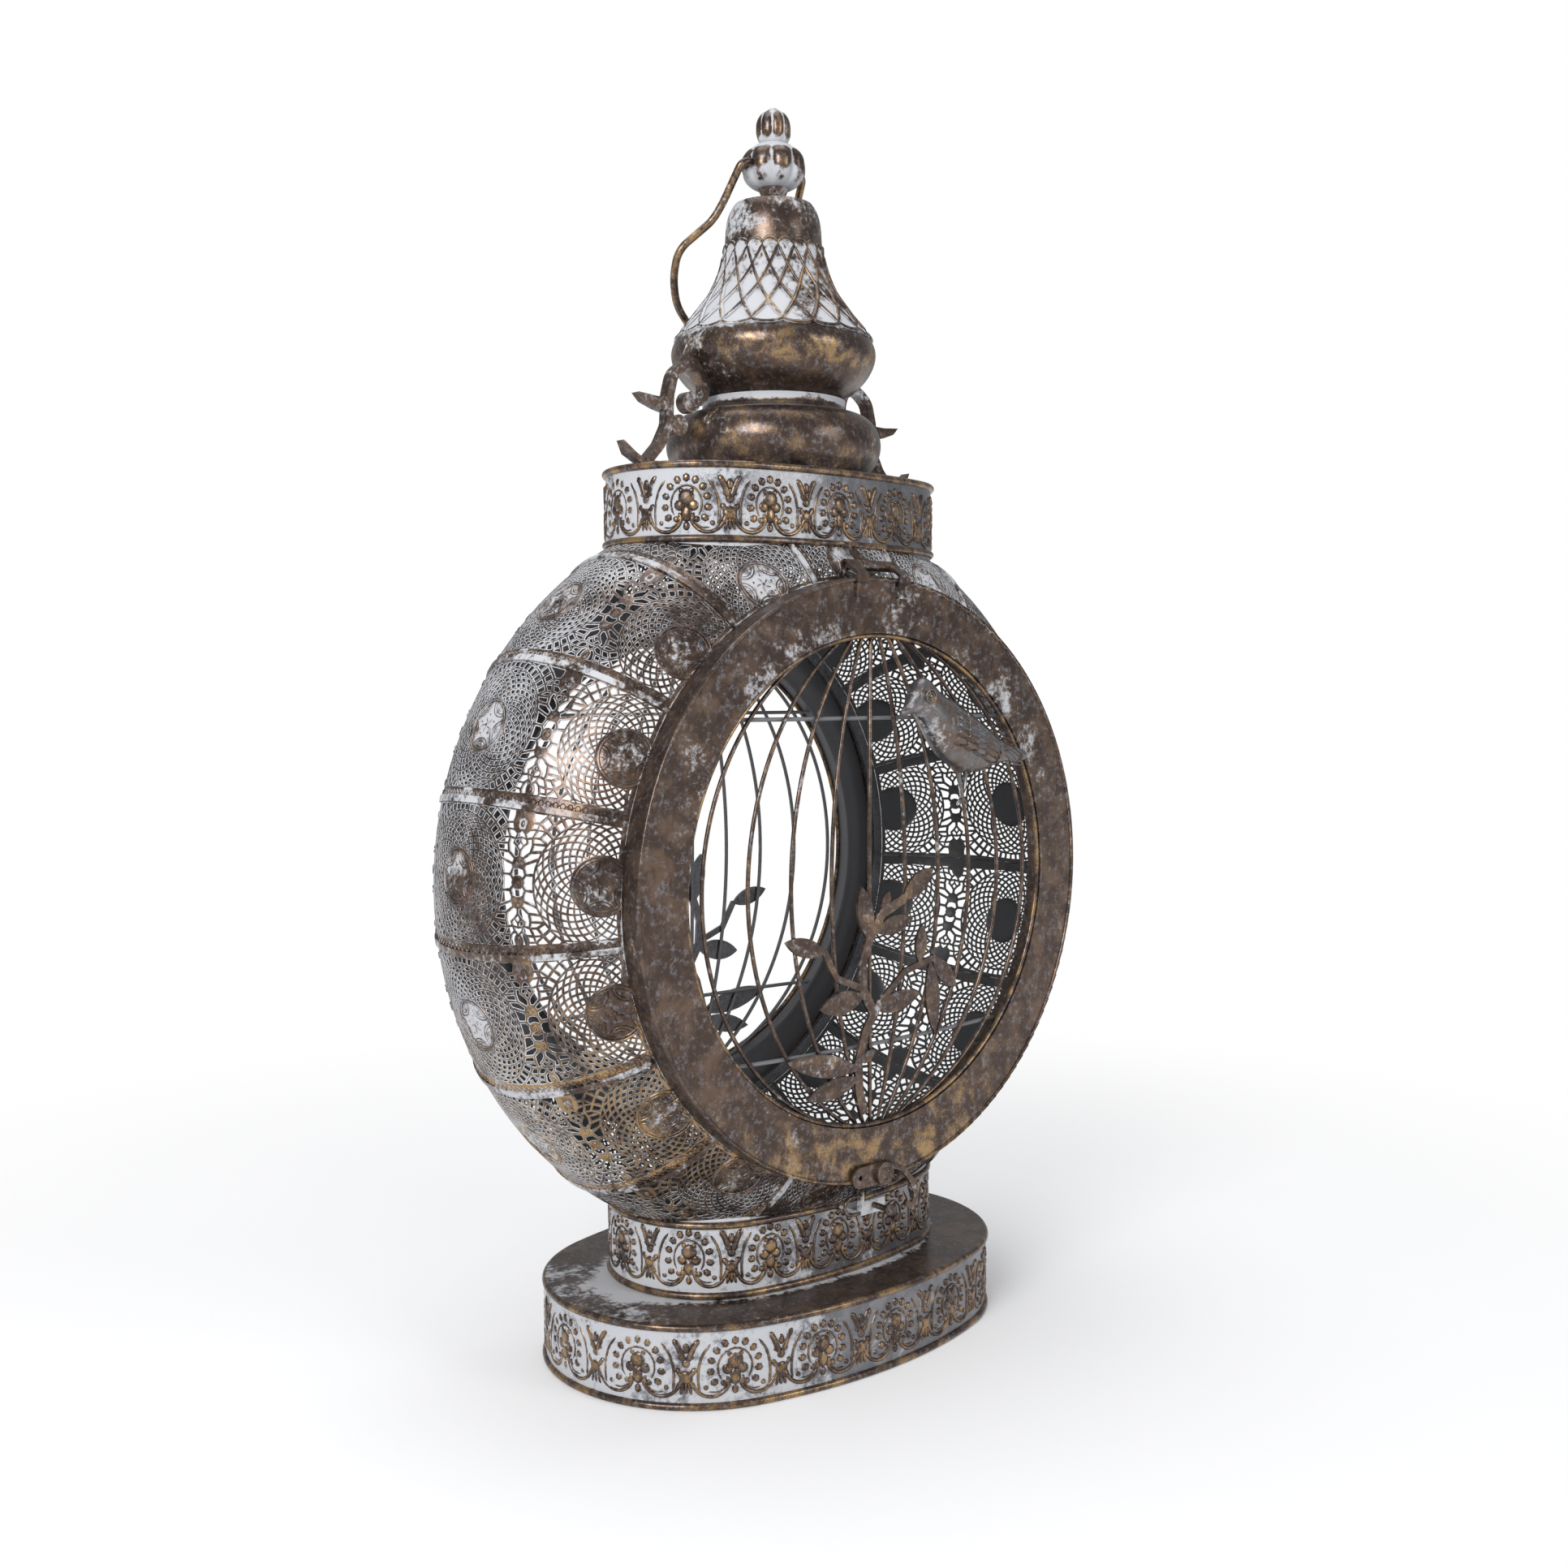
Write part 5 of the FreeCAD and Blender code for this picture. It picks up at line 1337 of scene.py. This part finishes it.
def distance(tree, *spans):
    return calc(tree, "SQRT", total(tree, *[calc(tree, "POWER", span, 2.0) for span in spans]))


def ring_radius(tree, place):
    """Distance from the drum's axis."""
    x, _, z = axes(tree, place)
    return distance(tree, x, calc(tree, "SUBTRACT", z, DRUM_Z))


BULGE_HEIGHT = 446 * MM
CAP_HEIGHT = 494 * MM
BUN_FOOT, BUN_LIP = 394 * MM, 423.5 * MM


def ring_wash(tree, place):
    """Whitewash round the bore's upper edge, and a little all over."""
    _, _, z = axes(tree, place)
    near_bore = band_mask(tree, ring_radius(tree, place), DOOR_BORE, 1 * MM, 20 * MM)
    high = spread(tree, z, DRUM_Z - 0.06, DRUM_Z + 0.11)
    return total(tree, 0.14, product(tree, near_bore, high, 0.14))


def ring_gold(tree, place):
    """More gold low on the ring."""
    _, _, z = axes(tree, place)
    low = opposite(tree, spread(tree, z, DRUM_Z - 0.12, DRUM_Z - 0.03))
    return total(tree, 0.06, product(tree, low, 0.4))


def bell_wash_and_light(tree, place):
    """Wash inside the lattice and on the cap, and painted light whitening the left side; the lower bulge
    stays dark.
    """
    x, _, z = axes(tree, place)
    lattice = band_mask(tree, z, (LATTICE_LOW + LATTICE_HIGH) / 2, 18 * MM, 5 * MM)
    cap = spread(tree, z, CAP_HEIGHT, CAP_HEIGHT + 12 * MM)
    # The left_share term is painted light on the bell's lit left side.
    return total(tree, product(tree, lattice, 0.4), product(tree, cap, 0.24), 0.06,
                 product(tree, left_share(tree, x, 0.0, 0.06), 0.26))


def bell_gold(tree, place):
    """A gold patch round the middle of the lower bulge."""
    _, _, z = axes(tree, place)
    return total(tree, 0.12, product(tree, band_mask(tree, z, BULGE_HEIGHT, 4 * MM, 9 * MM), 0.32))


def top_plate_wash_and_light(tree, place):
    """White round the foot of the neck, and painted light whitening the plate's left side."""
    x, y, _ = axes(tree, place)
    share = distance(tree, calc(tree, "DIVIDE", x, NECK_HALF_LENGTH),
                     calc(tree, "DIVIDE", y, NECK_HALF_WIDTH))
    near = opposite(tree, spread(tree, share, 1.02, 1.2))
    # side is painted light: the plate's left side, where the light falls, is whitened.
    side = left_share(tree, x, 0.04, 0.11)
    return total(tree, 0.12, product(tree, near, 0.4), product(tree, side, 0.26))


def ground_wash_and_light(tree, place):
    """A little wash all round, and painted light: white to the left, where the light falls, greyer to the
    right.
    """
    x, _, _ = axes(tree, place)
    return total(tree, 0.12, product(tree, left_share(tree, x, -0.06, 0.1), 0.42))


def bun_wash(tree, place):
    """White lip on the bun's top."""
    _, _, z = axes(tree, place)
    low = opposite(tree, spread(tree, z, BUN_FOOT, BUN_FOOT + 8 * MM))
    lip = product(tree, spread(tree, z, BUN_LIP, BUN_LIP + 3.3 * MM), 0.5)
    return total(tree, 0.1, product(tree, low, 0.2), lip)


def inside_ring(tree, place):
    """The back ring's bore and inner face, which are seen through the door."""
    _, y, _ = axes(tree, place)
    deep = opposite(tree, spread(tree, y, RING_FACE - 2 * MM, RING_FACE - 1 * MM))
    return product(tree, deep, band_mask(tree, ring_radius(tree, place), 0.0, DRUM_EDGE - 2 * MM, 1 * MM))


def inside_grille(tree, place):
    """The side of the wires that is turned towards the candle."""
    x, y, z = axes(tree, place)
    from_middle = distance(tree, x, calc(tree, "SUBTRACT", calc(tree, "ABSOLUTE", y), GRILLE_MIDDLE),
                           calc(tree, "SUBTRACT", z, DRUM_Z))
    return opposite(tree, spread(tree, from_middle, GRILLE_SPHERE - 0.3 * MM, GRILLE_SPHERE + 0.1 * MM))


INNER_SIDES = {"shaded_ring": inside_ring, "wire_bronze": inside_grille}
FINISHES = {
    "aged_ring": (("door_ring", "front_rim"), ring_wash, ring_gold, 1.0),
    "shaded_ring": (("back_ring",), ring_wash, ring_gold, 1.0),
    "shaded_rim": (("back_rim",), 0.0, 0.0, 0.6),
    "bright_hoops": (("door_hoop", "back_hoop"), 0.1, 0.46, 0.6),
    "bead_bronze": (("base_beads", "neck_beads", "collar_beads"), 0.12, 0.44, 0.4),
    "wire_bronze": (("back_wires", "door_wires", "door_cross_wires", "back_cross_wires"),
                    0.2, 0.36, 0.6),
    "bail_bronze": (("bail",), 0.16, 0.46, 0.6),
    "white_seams": (("seam_ribs",), 0.38, 0.2, 1.0),
    "frieze_ground": (("base_band", "neck_band", "collar_band"), ground_wash_and_light, 0.02, 1.0),
    "rosy_bronze": (("base_top_plate", "collar_top_plate", "base_floor"), top_plate_wash_and_light, 0.14, 0.7),
    "bell_skin": (("bell",), bell_wash_and_light, bell_gold, 1.0),
    "bun_skin": (("bun",), bun_wash, 0.4, 1.0),
    "cast_leaves": (("door_branch",), 0.2, 0.36, 0.8),
    "shaded_leaves": (("back_branch",), 0.0, 0.05, 0.8),
    "cast_scrolls": (("bracket_left", "bracket_right"), 0.24, 0.34, 0.8),
    "finial_skin": (("finial_foot",), 0.3, 0.3, 0.8),
    "latch_steel": (("latch_plate", "latch_hook", "latch_rivet", "strike_stud", "staple", "hinge_pin",
                     "door_hinge_leaves", "body_hinge_leaf", "tie_rod", "tie_nut"), 0.2, 0.3, 0.7),
    "silvered_bracket": (("strike_bracket",), 0.5, 0.05, 0.7),
    "grey_floor": (("candle_floor",), 0.05, 0.02, 0.5),
}


class LANTERN_OT_finishes(bpy.types.Operator):
    """Give every carried-over piece its aged finish"""
    bl_idname = "lantern.finishes"
    bl_label = "Finishes"

    def execute(self, context):
        for name, (nodes, wash_and_light, gold, grain) in FINISHES.items():
            material = aged_finish(name, wash_and_light, gold, relief=0.5, grain=grain, inside=INNER_SIDES.get(name))
            for node in nodes:
                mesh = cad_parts[node].data
                for index in range(len(mesh.materials)):
                    mesh.materials[index] = material
                if not mesh.materials:
                    mesh.materials.append(material)
        return {"FINISHED"}


# Name, place, size in metres and watts
LAMPS = (("left_window", (-1.5, -0.75, 1.0), 0.9, 22), ("front_window", (0.6, -1.8, 0.8), 0.8, 8),
         ("top_panel", (0.0, 0.2, 1.9), 1.4, 11))
LAMP_AIM = Vector((0, 0, 0.28))
CAMERA_TURN, CAMERA_RISE = math.radians(-41.634), math.radians(3.376)
CAMERA_DISTANCE = 776.96 * MM
AIM_HEIGHT, AIM_RIGHT = 253.7 * MM, 4.82 * MM
LENS, SENSOR = 38.52, 36.0
SKY_STRENGTH = 0.4
WHITE_NEAR, WHITE_FAR = 0.14, 0.75


class LANTERN_OT_stage(bpy.types.Operator):
    """Set the pale floor, the lamps and the camera"""
    bl_idname = "lantern.stage"
    bl_label = "Stage"

    def execute(self, context):
        scene = context.scene
        deselect_all()
        bpy.ops.mesh.primitive_plane_add(size=12, location=(0, 0, 0))
        floor = context.object
        floor.name = "pale_floor"
        floor.data.materials.append(floor_finish())
        scene.world = scene.world or bpy.data.worlds.new("soft_sky")
        sky(scene.world)
        for lamp in LAMPS:
            add_lamp(*lamp)
        add_camera(scene)
        scene.view_settings.view_transform = "Standard"
        return {"FINISHED"}


def add_lamp(name, place, size, power):
    data = bpy.data.lights.new(name, "AREA")
    data.shape = "DISK"
    data.size = size
    data.energy = power
    lamp = bpy.data.objects.new(name, data)
    lamp.location = place
    aim = LAMP_AIM - lamp.location
    lamp.rotation_euler = aim.to_track_quat("-Z", "Y").to_euler()
    bpy.context.scene.collection.objects.link(lamp)


def add_camera(scene):
    """The photograph's view: 42 degrees to the left of the front and a little above."""
    turn, rise = CAMERA_TURN, CAMERA_RISE
    right = Vector((math.cos(turn), math.sin(turn), 0))
    back = Vector((math.sin(turn) * math.cos(rise), -math.cos(turn) * math.cos(rise), math.sin(rise)))
    target = Vector((0, 0, AIM_HEIGHT)) + right * AIM_RIGHT
    data = bpy.data.cameras.new("photo_view")
    data.lens = LENS
    data.sensor_width = SENSOR
    data.clip_end = 50
    camera = bpy.data.objects.new("photo_view", data)
    camera.location = target + back * CAMERA_DISTANCE
    camera.rotation_euler = back.to_track_quat("Z", "Y").to_euler()
    scene.collection.objects.link(camera)
    scene.camera = camera


def sky(world):
    """A soft even light that the camera sees as white."""
    world.use_nodes = True
    tree = world.node_tree
    tree.nodes.clear()
    out = put(tree, "ShaderNodeOutputWorld")
    soft = feed(tree, put(tree, "ShaderNodeBackground"),
                {"Color": (0.95, 0.97, 1.0, 1), "Strength": SKY_STRENGTH})
    white = feed(tree, put(tree, "ShaderNodeBackground"), {"Color": (1, 1, 1, 1), "Strength": 1.0})
    path = put(tree, "ShaderNodeLightPath")
    mix = feed(tree, put(tree, "ShaderNodeMixShader"),
               {0: path.outputs["Is Camera Ray"], 1: soft.outputs[0], 2: white.outputs[0]})
    tree.links.new(mix.outputs[0], out.inputs[0])


def floor_finish():
    """Pale floor that keeps the shadow and turns white towards the camera."""
    material, shader = new_material("pale_floor")
    tree = material.node_tree
    place = put(tree, "ShaderNodeTexCoord").outputs["Object"]
    tone = spread(tree, noise(tree, place, 3.0), 0.3, 0.7)
    c = colours().floor
    path = put(tree, "ShaderNodeLightPath")
    seen = calc(tree, "MAXIMUM", path.outputs["Is Camera Ray"], path.outputs["Is Glossy Ray"])
    away = put(tree, "ShaderNodeVectorMath", operation="LENGTH")
    tree.links.new(place, away.inputs[0])
    far = product(tree, seen, spread(tree, away.outputs["Value"], WHITE_NEAR, WHITE_FAR))
    near = blend_colours(tree, tone, c, [v * 0.985 for v in c])
    feed(tree, shader, {"Base Color": blend_colours(tree, far, near, (0.0, 0.0, 0.0)), "Roughness": 0.85,
                        "Specular IOR Level": 0.0, "Emission Color": (1, 1, 1, 1)})
    glow = total(tree, product(tree, seen, 0.16), product(tree, far, 0.84))
    tree.links.new(glow, shader.inputs["Emission Strength"])
    return material


OPERATORS = (LANTERN_OT_finishes, LANTERN_OT_pierced_panels, LANTERN_OT_friezes,
             LANTERN_OT_bell_lattice, LANTERN_OT_finial, LANTERN_OT_bird, LANTERN_OT_stage)


class LANTERN_PT_panel(bpy.types.Panel):
    """Lists the lantern's pieces and sizes"""
    bl_label = "Lantern"
    bl_idname = "LANTERN_PT_panel"
    bl_space_type = "VIEW_3D"
    bl_region_type = "UI"
    bl_category = "Lantern"

    def draw(self, context):
        for operator in OPERATORS:
            self.layout.operator(operator.bl_idname)
        for group in (context.scene.lantern_sizes, context.scene.lantern_colours):
            for key in group.__annotations__:
                self.layout.prop(group, key)


CLASSES = (LanternSizes, LanternColours) + OPERATORS + (LANTERN_PT_panel,)


def register():
    for each in CLASSES:
        bpy.utils.register_class(each)
    bpy.types.Scene.lantern_sizes = PointerProperty(type=LanternSizes)
    bpy.types.Scene.lantern_colours = PointerProperty(type=LanternColours)


def unregister():
    del bpy.types.Scene.lantern_colours
    del bpy.types.Scene.lantern_sizes
    for each in reversed(CLASSES):
        bpy.utils.unregister_class(each)


def main():
    register()
    for operator in OPERATORS:
        group, name = operator.bl_idname.split(".")
        getattr(getattr(bpy.ops, group), name)()


if __name__ == "__main__":
    main()
